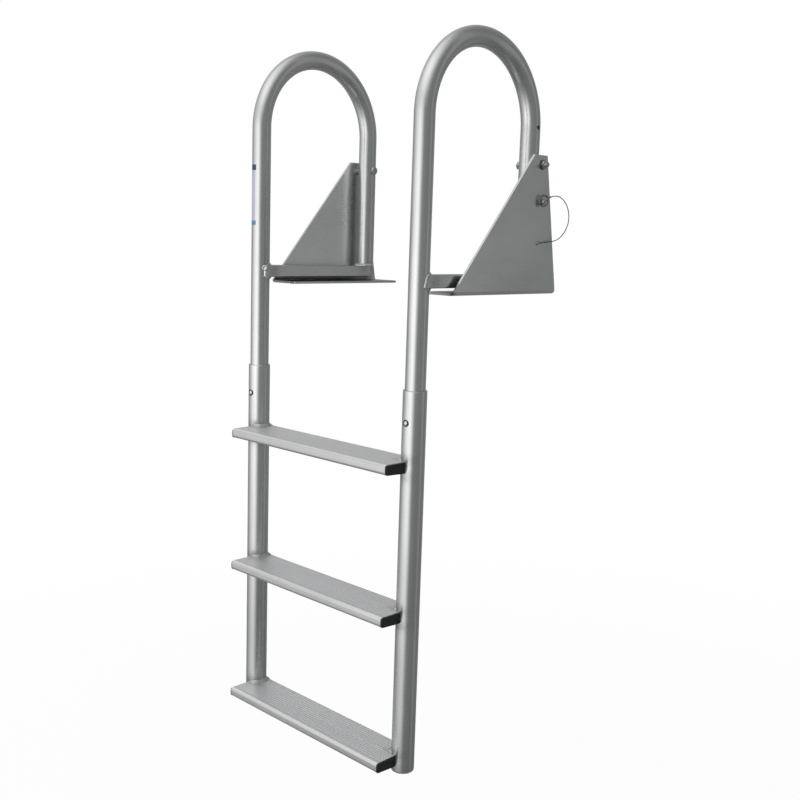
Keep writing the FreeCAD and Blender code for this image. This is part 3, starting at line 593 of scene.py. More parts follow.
for side, x in rail_x.items():
    outer, inner = [hoop_skin(x, handrail_radius - deep) for deep in (0, handrail_wall)]

    def on_tube(old, ring):
        """Border points moved in or out sideways, to their old distance from the leg's axis."""
        depth = np.hypot(old[:, 0] - x, old[:, 1] - rear_leg_y)
        off = np.sqrt(np.maximum(depth ** 2 - (ring[:, 1] - rear_leg_y) ** 2, 0))
        ring[:, 0] = x + np.sign(old[:, 0] - x) * off
        return ring

    gone = None
    if side == "right":
        gone = np.any([cut_round([outer, inner], [1, 2], (rear_leg_y, z), lock_hole_radius,
                                 lambda flat: flat[:, 1] > 0, True, on_tube)
                       for z in (lock_z, upper_lock_z)], axis=0)
    points, faces, used = walled(outer, inner, gone, wrap=True)
    straight = grid(handrail_radius * np.cos(ring_turn) + x, handrail_radius * np.sin(ring_turn),
                    tube_run[:, None]).reshape(-1, 3)
    straight = np.concatenate([straight, straight * (bore_scale, bore_scale, 1)])[used]
    soot_and_shade = weld_soot(points, [(x, front_leg_y + 0.02, bar_top + 0.004),
                              (x, front_leg_y + 0.02, bar_low), (x, rear_leg_y, bar_top + 0.002)],
                     (0.03, 0.016, 0.010))
    make_piece(side + "_hoop_tube", points, faces, "ladder", "rail_aluminium", rail_finish,
               [side + "_handrail"], grain=straight, extra={"soot_and_shade": soot_and_shade * 0.6})


# Lower rails: 44 mm tube of the same stock that the handrails slide into, with
# a softened lip at the joint. A grey moulded plug closes each foot.
lower_radius, lower_bore = 0.022225, 0.0192
joint_z, rail_foot = -0.1695, -0.9005
step_levels = {"top_step": -0.2995, "middle_step": -0.5845, "bottom_step": -0.8695}
lip, foot_edge, bore_edge = 0.0016, 0.0008, 0.0003
plug_profile = [(0.0020, -0.0025), (0.0116, -0.0026), (0.0120, -0.0030), (0.0190, -0.0030),
                (0.0207, -0.0027), (0.0215, -0.0021), (0.0218, -0.0012), (0.0218, -0.0004),
                (0.0214, 0.0), (0.0190, 0.0), (0.0190, 0.0172), (0.0186, 0.018)]


def moulded_plastic(name, light, dark, rough):
    """Moulded plastic: fine leathery grain, a slight bloom, and small rubbed spots."""
    finish = Finish(name)
    pebble = finish.speckle(1500)
    bloom = finish.speckle(70, detail=4)
    rub = finish.smooth(finish.speckle(240, detail=5, roughness=0.7), 0.58, 0.75)
    return finish.dress(
        Base_Color=finish.between(finish.smooth(bloom * 0.7 + rub * 0.5, 0.25, 0.85), dark, light),
        Roughness=rough + bloom * 0.10 - rub * 0.08, Normal=finish.relief(pebble, 0.00006))


lip_turn = np.linspace(0, pi / 2, 7)[1:]
rail_heights = spread(
    (rail_foot + foot_edge, joint_z - lip, 0.012),
    *[(max(z - 0.045, rail_foot + 0.001), z + 0.018, 0.003) for z in step_levels.values()])
rail_profile = np.concatenate([
    [(lower_radius - foot_edge, rail_foot)],
    np.column_stack([np.full(len(rail_heights), lower_radius), rail_heights]),
    np.column_stack([lower_radius - lip * (1 - np.cos(lip_turn)),
                     joint_z - lip * (1 - np.sin(lip_turn))]),
    [(lower_bore + bore_edge, joint_z), (lower_bore, joint_z - bore_edge),
     (lower_bore, rail_foot)]])
grey_finish = moulded_plastic("grey_plug", (0.30, 0.31, 0.31, 1), (0.20, 0.21, 0.21, 1), 0.42)

for side, x in rail_x.items():
    grain, faces = turned(rail_profile, 96, closed=True)
    points = grain + (x, front_leg_y, 0)
    soot_and_shade = weld_soot(points, [(x + inward[side] * 0.008, front_leg_y - 0.016, z + above)
                              for z in step_levels.values() for above in (0.003, -0.026)],
                     (0.020, 0.020, 0.011))
    make_piece(side + "_lower_tube", points, faces, "ladder", "rail_aluminium", rail_finish,
               [side + "_lower_rail"], grain=grain + (x, 0, 0), extra={"soot_and_shade": soot_and_shade * 0.8})
    fit_piece(side + "_foot_plug", turned(plug_profile, 64), (x, front_leg_y, rail_foot),
              (0, 0, 1), "ladder", "grey_plastic", grey_finish, [side + "_rail_plug"])


# Rail bolts: a stainless bolt through each telescoped joint, its small domed head on a black ring,
# and a low round nut behind.
bolt_z, seat_depth = -0.2285, 0.0002
button_radius, button_height, button_edge, button_side = 0.0044, 0.0027, 0.0004, 0.0006
black_ring_profile = [(0.0020, -0.0006), (0.0063, -0.0006), (0.0066, -0.0002), (0.0066, 0.0004),
                (0.0063, 0.0008), (0.0049, 0.0009), (0.0020, 0.0009)]
dome_turn = np.linspace(0, pi / 2, 14)
button_profile = np.concatenate([
    [(button_radius - button_edge, -0.0004), (button_radius, 0.0003)],
    np.column_stack([button_edge + (button_radius - button_edge) * np.cos(dome_turn),
                     button_side + (button_height - button_side) * np.sin(dome_turn)])])
round_nut_profile = [(0.0002, -0.0010), (0.0050, -0.0010), (0.0050, 0.0012), (0.0047, 0.0016),
                     (0.0042, 0.0018), (0.0033, 0.0018), (0.0031, 0.0015), (0.0029, 0.0018),
                     (0.0002, 0.0018)]
black_finish = moulded_plastic("black_cap", (0.014, 0.015, 0.0155, 1), (0.005, 0.0055, 0.006, 1),
                               0.44)
bolt_finish = stainless("plain_bolt", (0.68, 0.69, 0.69, 1), 0.12)

for side, x in rail_x.items():
    seat = (x, front_leg_y - lower_radius + seat_depth, bolt_z)
    # A black ring under each bolt head.
    fit_piece(side + "_joint_black_ring", turned(black_ring_profile), seat, (0, -1, 0), "ladder",
              "black_plastic", black_finish)
    fit_piece(side + "_joint_bolt", turned(button_profile), seat, (0, -1, 0), "ladder",
              "fastener_steel", bolt_finish, [side + "_rail_bolt"])
    fit_piece(side + "_joint_nut", turned(round_nut_profile),
              (x, front_leg_y + lower_radius, bolt_z), (0, 1, 0), "ladder", "fastener_steel",
              bolt_finish, [side + "_rail_nut"], first=(1, 0, 0))


# Stay bars: rectangular tube welded between the legs, coped round the front
# one and rounded behind like the leg that stands on it. A black plug is
# pressed into the rear end, flush.
bar_half, bar_wall, bar_corner = 0.019, 0.0024, 0.0020
bar_end, bar_end_round = 0.10955, 0.0185
bar_middle, bar_half_height = (bar_low + bar_top) / 2, (bar_top - bar_low) / 2
weld_gap = 0.0002
plug_fit, plug_sunk, plug_length = 0.0001, 0.0003, 0.026
plug_edge, plug_edge_width = 0.0006, 0.0016


def rounded_box(half, low, high, corner, steps=6):
    """The outline of a box with round corners, clockwise seen from the front: rows of across
    and up."""
    sweep = np.linspace(pi / 2, 0, steps)
    centres = ((half - corner, high - corner, 0), (half - corner, low + corner, 1),
               (-half + corner, low + corner, 2), (-half + corner, high - corner, 3))
    return np.concatenate([np.column_stack([cx + corner * np.cos(sweep - quarter * pi / 2),
                                            cz + corner * np.sin(sweep - quarter * pi / 2)])
                           for cx, cz, quarter in centres])


def dense(outline, gap):
    """The same closed outline with points at most a gap apart."""
    return np.concatenate([
        np.linspace(a, b, max(2, int(np.ceil(np.linalg.norm(b - a) / gap)) + 1))[:-1]
        for a, b in zip(outline, np.roll(outline, -1, axis=0))])


def end_line(x):
    """Where the bar's rounded end lies, a distance x from the bar's middle plane."""
    off = np.clip(np.abs(x) - (bar_half - bar_end_round), 0, bar_end_round)
    return bar_end - bar_end_round + np.sqrt(bar_end_round ** 2 - off ** 2)


def bar_skin(x, outline):
    """The bar's skin: its outline carried along Y, with the front end cut to the front leg's
    round and the rear end rounded."""
    start = front_leg_y + np.sqrt((handrail_radius + weld_gap) ** 2 - outline[:, 0] ** 2)
    y = start + (end_line(outline[:, 0]) - start) * bar_run[:, None]
    return grid(x + outline[:, 0], y, outline[:, 1])


bar_outline = dense(rounded_box(bar_half, bar_low, bar_top, bar_corner), 0.0019)
bore_shrink = np.array((1 - bar_wall / bar_half, 1 - bar_wall / bar_half_height))
bore_outline = (0, bar_middle) + (bar_outline - (0, bar_middle)) * bore_shrink
bar_run = spread((0, 0.05, 0.004), (0.05, 0.90, 0.03), (0.90, 1.0, 0.006))
bore_half, bore_low, bore_top = bar_half - bar_wall, bar_low + bar_wall, bar_top - bar_wall
plug_x, plug_z = np.meshgrid(np.linspace(-1, 1, 40) * (bore_half - plug_fit),
                             np.linspace(bore_low + plug_fit, bore_top - plug_fit, 14))
rim_off = np.min([bore_half - np.abs(plug_x), plug_z - bore_low, bore_top - plug_z], axis=0)
plug_face = end_line(plug_x) - plug_sunk - plug_edge * ease(-rim_off, -plug_edge_width, 0)
plug_points, plug_faces, _ = walled(grid(plug_x, plug_face, plug_z),
                                    grid(plug_x, bar_end - plug_length, plug_z))

for side, x in rail_x.items():
    points, faces, _ = walled(bar_skin(x, bar_outline), bar_skin(x, bore_outline), wrap=True)
    soot_and_shade = weld_soot(points, [(x, front_leg_y + 0.022, bar_middle),
                              (x, rear_leg_y - 0.02, bar_top), (x, rear_leg_y + 0.01, bar_top)],
                     (0.03, 0.012, 0.02))
    # Painted shade along the whole underside of the bar, kept with the weld soot.
    painted_shade_below = 0.95 * (points[:, 2] < bar_low + 0.0004)
    make_piece(side + "_stay", points, faces, "ladder", "rail_aluminium", rail_finish,
               [side + "_stay_bar"], grain=points[:, [0, 2, 1]],
               extra={"soot_and_shade": np.maximum(soot_and_shade * 0.7, painted_shade_below)})
    make_piece(side + "_stay_plug", plug_points + (x, 0, 0),
               facing_out(plug_points, plug_faces.tolist()), "ladder", "black_plastic",
               black_finish, [side + "_bar_plug"], grain=plug_points)


# Steps: one hollow aluminium extrusion each, thinner at its rounded nose, with fine grooves along
# the tread, shown shallow, and its ends cut to fit the rails. The tread's top is painted paler than
# the nose as painted light, and painted shade lies in the grooves and along a line just behind the
# nose's round.
rails_middle = (rail_x["left"] + rail_x["right"]) / 2
half_pitch, step_half = 0.226, 0.224
nose_y, step_rear = -0.070, 0.0213
nose_depth, rear_depth = 0.0195, 0.0245
nose_round, rear_round = 0.006, 0.0015
groove_first, groove_pitch, groove_count = 0.0105, 0.00635, 13
groove_width, groove_slope, groove_depth = 0.0020, 0.0004, 0.0001
# Lines just behind the nose's round, where painted shade is laid as in a groove.
crease_lines = nose_y + np.array((0.0066, 0.0070, 0.0080, 0.0084))
tube_clear = lower_radius + weld_gap
nose_light, nose_dark = (0.63, 0.63, 0.632, 1), (0.56, 0.56, 0.562, 1)
# The tread's colours are far paler than the nose's: painted light on the tread's top.
painted_lit_tread_light, painted_lit_tread_dark = (0.89, 0.89, 0.895, 1), (0.82, 0.82, 0.825, 1)
# The grooves' colour is painted shade, as the grooves themselves are shown shallow.
groove_shade_colour, tread_soot_colour = (0.38, 0.38, 0.385, 1), (0.16, 0.16, 0.155, 1)


def groove_mask(y):
    """1 on a groove's floor and 0 on the lands, with a short slope on both sides."""
    place = (y - nose_y - groove_first) / groove_pitch
    nearest = np.clip(np.round(place - groove_width / groove_pitch / 2), 0, groove_count - 1)
    off = np.abs((place - nearest) * groove_pitch - groove_width / 2)
    return np.clip((groove_width / 2 - off) / groove_slope, 0, 1)


def edge_drop(y):
    """How far the step's skin lies in from its flats, over the round of the nose and of the
    rear edge."""
    nose = np.minimum(y - nose_y - nose_round, 0)
    rear = np.minimum(step_rear - rear_round - y, 0)
    return (nose_round - np.sqrt(np.maximum(nose_round ** 2 - nose ** 2, 0))
            + rear_round - np.sqrt(np.maximum(rear_round ** 2 - rear ** 2, 0)))


def under_line(y):
    """Height of the flat of the step's underside, which falls evenly to the rear."""
    return -nose_depth - (rear_depth - nose_depth) / (step_rear - nose_y) * (y - nose_y)


def extruded_tread(name):
    """Extruded aluminium: long drawn lines and soft clouds, the tread rougher than the nose and
    painted paler as painted light, painted shade in its grooves and along the line behind the nose,
    and soot at the welds."""
    finish = Finish(name)
    lines = finish.speckle(3, 620, 620)
    cloud = finish.speckle(6, 20, 20, detail=4)
    scuff = finish.smooth(finish.speckle(45, 90, 90, detail=3, roughness=0.6), 0.58, 0.72)
    groove, tread, soot_and_shade = [finish.painted(key) for key in ("groove", "tread", "soot_and_shade")]
    tone = finish.smooth(cloud * 0.6 + lines * 0.4, 0.30, 0.70)
    nose_colour = finish.between(tone, nose_dark, nose_light)
    # The tread's top is painted paler than the nose: painted light.
    painted_lit_land_colour = finish.between(tone, painted_lit_tread_dark, painted_lit_tread_light)
    # Painted shade in the grooves and along the line behind the nose.
    colour = finish.between(groove * (0.55 + cloud * 0.3), painted_lit_land_colour, groove_shade_colour)
    colour = finish.between(tread, nose_colour, colour)
    return finish.dress(
        Base_Color=finish.between(soot_and_shade * (0.5 + cloud * 0.5), colour, tread_soot_colour),
        Metallic=0.93 - tread * 0.13,
        Roughness=(0.27 + tread * 0.12 + cloud * 0.05 + lines * 0.05 + scuff * 0.06
                   + groove * 0.10),
        Normal=finish.relief(lines, 0.000005))


groove_starts = nose_y + groove_first + groove_pitch * np.arange(groove_count)
groove_corners = np.array((0, groove_slope, groove_width - groove_slope, groove_width))
step_lines = np.unique(np.concatenate([
    nose_y + nose_round * (1 - np.cos(np.linspace(0, pi / 2, 12))),
    step_rear - rear_round * (1 - np.cos(np.linspace(0, pi / 2, 5))), crease_lines,
    (groove_starts[:, None] + groove_corners).ravel(),
    np.linspace(-tube_clear, step_rear - rear_round, 30)]).round(7))
step_shares = np.concatenate([[-1, -0.985], np.linspace(-0.95, 0.95, 20), [0.985, 1]])
step_end = np.minimum(
    step_half, half_pitch - np.sqrt(np.maximum(tube_clear ** 2 - step_lines ** 2, 0)))
across_step = step_end[:, None] * step_shares
tread_top = -edge_drop(step_lines) - groove_depth * groove_mask(step_lines)
tread_under = under_line(step_lines) + edge_drop(step_lines)
step_points, step_faces, used = walled(
    grid(across_step, step_lines[:, None], tread_top[:, None]),
    grid(across_step, step_lines[:, None], tread_under[:, None]))
# The groove share is painted shade in the grooves and along the line behind the nose, which are
# also a little rougher.
groove, tread = [
    np.concatenate([np.repeat(row, len(step_shares)), np.zeros(across_step.size)])[used]
    for row in (groove_mask(step_lines) + np.interp(step_lines, crease_lines, (0, 1, 1, 0)),
                ease(step_lines - nose_y, 0.0005, 0.0035))]
soot_and_shade = weld_soot(step_points, [(sign * (half_pitch - 0.020), y, z) for sign in (-1, 1)
                               for y in (-0.016, 0.0, 0.016) for z in (0.0, -0.023)],
                 (0.009, 0.010, 0.006))
step_finish = extruded_tread("extruded_tread")

for step_name, step_z in step_levels.items():
    make_piece(step_name + "_extrusion", step_points + (rails_middle, front_leg_y, step_z),
               step_faces, "ladder", "step_aluminium", step_finish, [step_name], crease=28,
               extra={"groove": groove, "tread": tread, "soot_and_shade": soot_and_shade * 0.55})


# End caps: black moulded covers that plug into the open front chamber of each
# step, just below the tread's lip, and end short of the rail.
cap_front, cap_rear = -0.0700, -0.0234
cap_lip, cap_foot, cap_thick = 0.0014, 0.0004, 0.0030
cap_corner, cap_rear_corner = 0.0054, 0.0006
cap_edge, cap_dish, cap_flat_in = 0.0014, 0.0002, 0.0012

corner_sweep, edge_sweep = np.linspace(0, pi / 2, 8), np.linspace(0, pi / 2, 6)
far, near = 1 - np.sin(corner_sweep), 1 - np.cos(corner_sweep)
cap_outline = dense(np.concatenate([np.column_stack([y + in_y, z + in_z]) for y, z, in_y, in_z in (
    (cap_front, -cap_lip, cap_corner * near, -cap_corner * far),
    (cap_rear, -cap_lip, -cap_rear_corner * far[::3], -cap_rear_corner * near[::3]),
    (cap_rear, under_line(cap_rear), -cap_rear_corner * near[::3], cap_rear_corner * far[::3]),
    (cap_front, -nose_depth - cap_foot, cap_corner * far, cap_corner * near))]), 0.0015)
apart = np.linalg.norm(np.diff(cap_outline, axis=0), axis=1) > 1e-6
cap_outline = cap_outline[np.r_[True, apart]]
tangent = unit(np.roll(cap_outline, -1, axis=0) - np.roll(cap_outline, 1, axis=0))
insets = np.concatenate([[0], cap_edge * (1 - np.cos(edge_sweep)), [cap_edge + cap_flat_in]])
heights = np.concatenate([[0], cap_thick - cap_edge * (1 - np.sin(edge_sweep)),
                          [cap_thick - cap_dish]])
drawn_in = cap_outline + tangent[:, ::-1] * (1, -1) * insets[:, None, None]
cap_points = grid(heights[:, None], drawn_in[..., 0], drawn_in[..., 1]).reshape(-1, 3)
cap_faces = ringed(len(insets), len(cap_outline))

for step_name, step_z in step_levels.items():
    for side, way in inward.items():
        points = (cap_points * (-way, 1, 1)
                  + (rails_middle - way * step_half, front_leg_y, step_z))
        make_piece("%s_end_cap_%s" % (step_name, side), points, facing_out(points, cap_faces),
                   "ladder", "black_plastic", black_finish, ["%s_cap_%s" % (step_name, side)])


# Welds: aluminium filler run round every joint of steps and stay bars with the
# tubes, left as laid, with the ripples of the pool, and a mound with a crater
# where each bar weld ends.
weld_pitch, weld_sunk, weld_taper = 0.0021, 0.0007, 0.004
weld_ripple, weld_bulge, weld_sway = 0.10, 0.18, ((0.06, 410, 0), (0.05, 173, 1))
foot_leg, foot_leg_most, foot_leg_up, foot_swell = 0.0006, 0.0056, 0.0040, 0.0006
bar_legs, side_swell, flat_swell, side_in = (0.0042, 0.0036), 0.0031, 0.0014, 0.0004
step_legs, step_swell, under_share = (0.0068, 0.0052), -0.0004, 0.8
fade_in, fade_out, fade_least, fade_radius = 0.008, 0.006, 0.12, 0.022
weld_lean = {"left": (0.05, -0.0042), "right": (0.27, -0.0036)}
weld_stop = {"left": (1.2, -0.0046, 0.0188), "right": (0.65, 0.0012, 0.0034)}
weld_start, weld_finish = {"left": -84, "right": -60}, 72
stop_out, stop_way = 0.0012, (0.62, -0.78)
stop_profile = np.array([
    (0.0002, -0.0070), (0.0050, -0.0070), (0.0052, -0.0010), (0.0048, 0.0008), (0.0041, 0.0019),
    (0.0034, 0.0022), (0.0027, 0.0018), (0.0019, 0.0009), (0.0010, 0.0005), (0.0002, 0.0004)])


def as_laid(name, light, dark, rough):
    """Aluminium filler as laid: cloudy with oxide, with a fine grit."""
    finish = Finish(name)
    cloud = finish.speckle(350, detail=4)
    grit = finish.speckle(1500)
    return finish.dress(
        Base_Color=finish.between(finish.smooth(cloud, 0.35, 0.62), dark, light), Metallic=0.92,
        Roughness=rough + cloud * 0.2 + grit * 0.1,
        Normal=finish.relief(cloud * 0.7 + grit * 0.3, 0.00008))


def bead(root, ways, legs, swell, closed=False, outward=None):
    """A weld bead along a root line: from a leg's length along one surface it curves over to a
    leg's length along the other, swollen between, and it sinks a little into the corner.
    Ripples come at an even pitch, and an open bead tapers at its ends."""
    run = np.concatenate([[0], np.cumsum(np.linalg.norm(np.diff(root, axis=0), axis=1))])
    ways = [unit(np.broadcast_to(way, root.shape)) for way in ways]
    outward = unit(ways[0] + ways[1] if outward is None else outward)
    wave = np.abs(np.sin(pi * run / weld_pitch))
    size = 1 + weld_ripple * wave + sum(
        share * np.sin(run * rate + lag) for share, rate, lag in weld_sway)
    if not closed:
        size = size * np.clip(np.minimum(run, run[-1] - run) / weld_taper + 0.06, 0, 1) ** 0.5
    sweep = np.linspace(0, pi / 2, 9)[:, None]
    arms = ((ways[0], legs[0] * size, np.cos(sweep) ** 2),
            (ways[1], legs[1] * size, np.sin(sweep) ** 2),
            (outward, swell * size * (1 + weld_bulge * wave), np.sin(2 * sweep)))
    skin = root[:, None, :] + sum((way * far[:, None])[:, None, :] * share
                                  for way, far, share in arms)
    points = np.concatenate([skin, (root - outward * weld_sunk)[:, None, :]], axis=1)
    return points.reshape(-1, 3), ringed(*points.shape[:2], closed)


# Two copies of one filler: a paler, glossier one that is painted light, on the stay welds and the
# left bar weld, and a darker, rougher one that is painted shade, on the right bar weld and the step
# welds.
bright_weld = as_laid("bright_weld", (0.80, 0.805, 0.80, 1), (0.58, 0.585, 0.58, 1), 0.16)
dull_weld = as_laid("dull_weld", (0.60, 0.61, 0.605, 1), (0.44, 0.445, 0.44, 1), 0.34)

# The rear leg's foot: the leg along the bar is as long as the bar's top has
# room for, and short behind.
foot_turn = np.linspace(-pi, pi, 241)[:-1]
foot_out = np.column_stack([np.sin(foot_turn), np.cos(foot_turn), 0 * foot_turn])
sideways = np.abs(np.sin(foot_turn))
room = (bar_half - handrail_radius * sideways) / np.maximum(sideways, 0.05)
foot_legs = (np.where(foot_out[:, 1] > 0, foot_leg, np.clip(room, foot_leg, foot_leg_most)),
             foot_leg_up)

# The bar's front end: the bead runs round the bar on the leg's round, and over
# the bar's sides it is flush with the leg and leans.
outline = dense(rounded_box(bar_half - weld_gap, bar_low, bar_top, bar_corner), 0.0009)
widest = handrail_radius - 0.0001
on_round = np.sqrt(handrail_radius ** 2 - np.clip(outline[:, 0], -widest, widest) ** 2)
tangent = unit(np.roll(outline, -1, axis=0) - np.roll(outline, 1, axis=0))
off_bar = np.column_stack([-tangent[:, 1], 0 * on_round, tangent[:, 0]])
radial = unit(np.column_stack([outline[:, 0], on_round, 0 * on_round]))
along_tube = unit(off_bar - radial * np.sum(off_bar * radial, 1)[:, None] + (0, -1e-6, 0))
flush = np.abs(off_bar[:, 0]) > 0.7
along_tube[flush] = (0, -1, 0)

for side, x in rail_x.items():
    foot_weld = bead(np.array((x, rear_leg_y, bar_top)) + handrail_radius * foot_out,
                     (foot_out, (0, 0, 1)), foot_legs, foot_swell, closed=True)
    size, along, height = weld_stop[side]
    stops = [stand(turned(stop_profile * size, 40),
                   (x + way * (bar_half + stop_out), front_leg_y + along, bar_low + height),
                   (stop_way[0] * way, stop_way[1], 0)) for way in (-1, 1)]
    make_piece(side + "_stay_welds", *joined([foot_weld] + stops), "ladder", "rail_aluminium",
               bright_weld)
    lean, shift = weld_lean[side]
    root = np.column_stack([
        x + outline[:, 0] - np.sign(outline[:, 0]) * side_in * flush,
        front_leg_y + on_round + (shift + lean * (outline[:, 1] - bar_middle)) * flush,
        outline[:, 1]])
    bar_weld = bead(root, ((0, 1, 0), along_tube), bar_legs,
                    np.where(flush, side_swell, flat_swell), closed=True, outward=off_bar)
    # The left bar weld takes the painted-light copy of the filler and the right one the
    # painted-shade copy.
    make_piece(side + "_bar_weld", *joined([bar_weld]), "ladder", "rail_aluminium",
               bright_weld if side == "left" else dull_weld)

    turn = np.linspace(radians(weld_start[side]), radians(weld_finish), 110)
    out = np.column_stack([inward[side] * np.cos(turn), np.sin(turn), 0 * turn])
    fade = (np.clip((turn - turn[0]) * fade_radius / fade_in, fade_least, 1)
            * np.clip((turn[-1] - turn) * fade_radius / fade_out, fade_least, 1))
    beads = []
    for step_z in step_levels.values():
        for rise, size in ((1, 1.0), (-1, under_share)):
            root = np.array((x, front_leg_y, step_z)) + lower_radius * out
            if rise < 0:
                root[:, 2] += under_line(lower_radius * out[:, 1])
            beads.append(bead(root, (out, (0, 0, rise)),
                              [leg * size * fade for leg in step_legs], step_swell))
    make_piece(side + "_step_welds", *joined(beads), "ladder", "step_aluminium", dull_weld)


# Brackets: 5 mm mill-finish aluminium sheet, folded once into a foot for the deck and an upright
# gusset plate that is raked up to the hinge. Painted shade lies over the top of the foot, deepest
# under the stay bar, on the inside of the fold and low on the plate, and on the foot's front edge.
foot_half, foot_reach, sheet, fold_inside = 0.038, 0.152, 0.005, 0.004
fold_centre = foot_half - sheet - fold_inside
plate_top, top_rear_y, top_depth, foot_corner = 0.2655, rear_leg_y + 0.0155, 0.039, 0.005
deck_hole_radius, deck_hole_across, deck_hole_along = 0.0045, 0.022, 0.120
near_deck_hole, deck_hole_step = 0.0062, 0.0010
bracket_x = {"left": -0.4421, "right": 0.0}
sheet_dark, sheet_light = (0.61, 0.625, 0.618, 1), (0.705, 0.72, 0.713, 1)
# The painted shade's colour, and how deep it is on the foot's top, under the stay bar, in the fold
# and on the foot's front edge.
sheet_shade_colour = (0.09, 0.09, 0.088, 1)
foot_shade, under_bar_shade, fold_shade, front_edge_shade = 0.45, 0.5, 0.95, 0.8
edge_width, edge_steps, edge_angle = 0.0006, 3, radians(50)


def mill_finish(name):
    """Sheet as rolled: faint lines, wide soft clouds, fine grit, a few scratches, and dark painted
    shade where the piece has it."""
    finish = Finish(name)
    lines = finish.speckle(1100, 1100, 14, detail=3, roughness=0.6)
    cloud = finish.speckle(9, 9, 6, detail=4)
    fine = finish.speckle(700)
    scratch = finish.smooth(finish.speckle(380, 30, 55, detail=5, roughness=0.65), 0.62, 0.72)
    tone = finish.smooth(cloud * 0.75 + lines * 0.1 + fine * 0.15, 0.32, 0.68)
    return finish.dress(
        Base_Color=finish.between(finish.painted("sheet_shade") * (0.8 + cloud * 0.2),
                                  finish.between(tone, sheet_dark, sheet_light), sheet_shade_colour),
        Metallic=0.95, Roughness=0.24 + cloud * 0.06 + lines * 0.01 + scratch * 0.01,
        Normal=finish.relief(lines * 0.15 + fine * 0.8 + scratch * 0.05, 0.000002))


def sheet_skin(depth):
    """One skin of the folded sheet, a depth inside its outer one: across the foot, round the
    fold, up the plate, and at each place from the front edge to the rear one."""
    bend = sheet + fold_inside - depth
    low = np.concatenate([foot_run, fold_centre + bend * np.sin(fold_turn),
                          np.full(len(plate_run), foot_half - depth)])
    high = np.concatenate([np.full(len(foot_run), depth),
                           sheet + fold_inside - bend * np.cos(fold_turn), plate_run])
    rake = np.clip((high - sheet) / (plate_top - sheet), 0, 1)
    first = -foot_reach + rake * (top_rear_y - top_depth + foot_reach)
    last = foot_reach + rake * (top_rear_y - foot_reach)
    y = first[:, None] + (last - first)[:, None] * sheet_shares
    return grid(low[:, None], y, high[:, None])


def round_corners(skin):
    """Draw in the two free corners of the foot, in the first columns of its grid: each point
    in a corner's square comes in until the square's rim lies on the circle."""
    foot = skin[:len(foot_run)]
    for sign in (-1, 1):
        out_x = np.clip(-foot[..., 0] - foot_half + foot_corner, 0, None)
        out_y = np.clip(sign * foot[..., 1] - foot_reach + foot_corner, 0, None)
        far = np.maximum(np.hypot(out_x, out_y), 1e-9)
        share = np.where((out_x > 0) & (out_y > 0), np.maximum(out_x, out_y) / far, 1)
        foot[..., 0] += out_x * (1 - share)
        foot[..., 1] -= sign * out_y * (1 - share)


across_holes, along_holes = [(-far, far) for far in (deck_hole_across, deck_hole_along)]
foot_run, sheet_spread = [
    spread(whole, *[(c - near_deck_hole, c + near_deck_hole, deck_hole_step) for c in holes])
    for whole, holes in (((-foot_half, fold_centre, 0.006), across_holes),
                         ((-foot_reach, foot_reach, 0.010), along_holes))]
fold_turn = np.linspace(0, pi / 2, 12)[1:-1]
plate_run = spread((sheet + fold_inside, 0.027, 0.003), (0.027, plate_top, 0.012))
sheet_shares = (sheet_spread + foot_reach) / foot_reach / 2
outer, inner = sheet_skin(0.0), sheet_skin(sheet)
gone = np.any([cut_round([outer, inner], [0, 1], (hole_x, hole_y), deck_hole_radius,
                         lambda flat: flat[:, 2] < sheet)
               for hole_x in across_holes for hole_y in along_holes], axis=0)
round_corners(outer)
round_corners(inner)
sheet_points, sheet_faces, used = walled(outer, inner, gone)
sheet_x, sheet_y, sheet_z = sheet_points.T
top_side, on_foot = used >= outer[..., 0].size, sheet_z < sheet + 0.0004
under_bar = ease(-np.abs(sheet_x - 0.005), -0.028, -0.020) * ease(-sheet_y, -0.118, -0.108)
in_fold = ease(-sheet_z, -0.024, -0.015) * ease(-sheet_y, -0.150, -0.120) * (sheet_x > 0.024)
# Painted shade: over the top of the foot, deepest under the stay bar, on the inside of the fold low
# on the plate, and on the foot's front edge.
sheet_shade = np.max([(top_side & on_foot) * (foot_shade + under_bar_shade * under_bar),
                fold_shade * in_fold * top_side,
                front_edge_shade * ((sheet_y < 0.0005 - foot_reach) & on_foot)], axis=0)
sheet_finish = mill_finish("mill_finish_sheet")

for side, x in bracket_x.items():
    hand = -inward[side]
    points = sheet_points * (hand, 1, 1)
    grain = np.column_stack([points[:, 0] + points[:, 2], points[:, 0] - points[:, 2],
                             points[:, 1]])
    bracket = make_piece(side + "_gusset", points + (x, 0, 0), sheet_faces[:, ::hand], "brackets",
                         "bracket_aluminium", sheet_finish, [side + "_bracket"], grain=grain,
                         crease=40, extra={"sheet_shade": sheet_shade})
    worn = bracket.modifiers.new("worn_edges", "BEVEL")
    worn.width, worn.segments = edge_width, edge_steps
    worn.limit_method, worn.angle_limit = "ANGLE", edge_angle
    worn.harden_normals = True


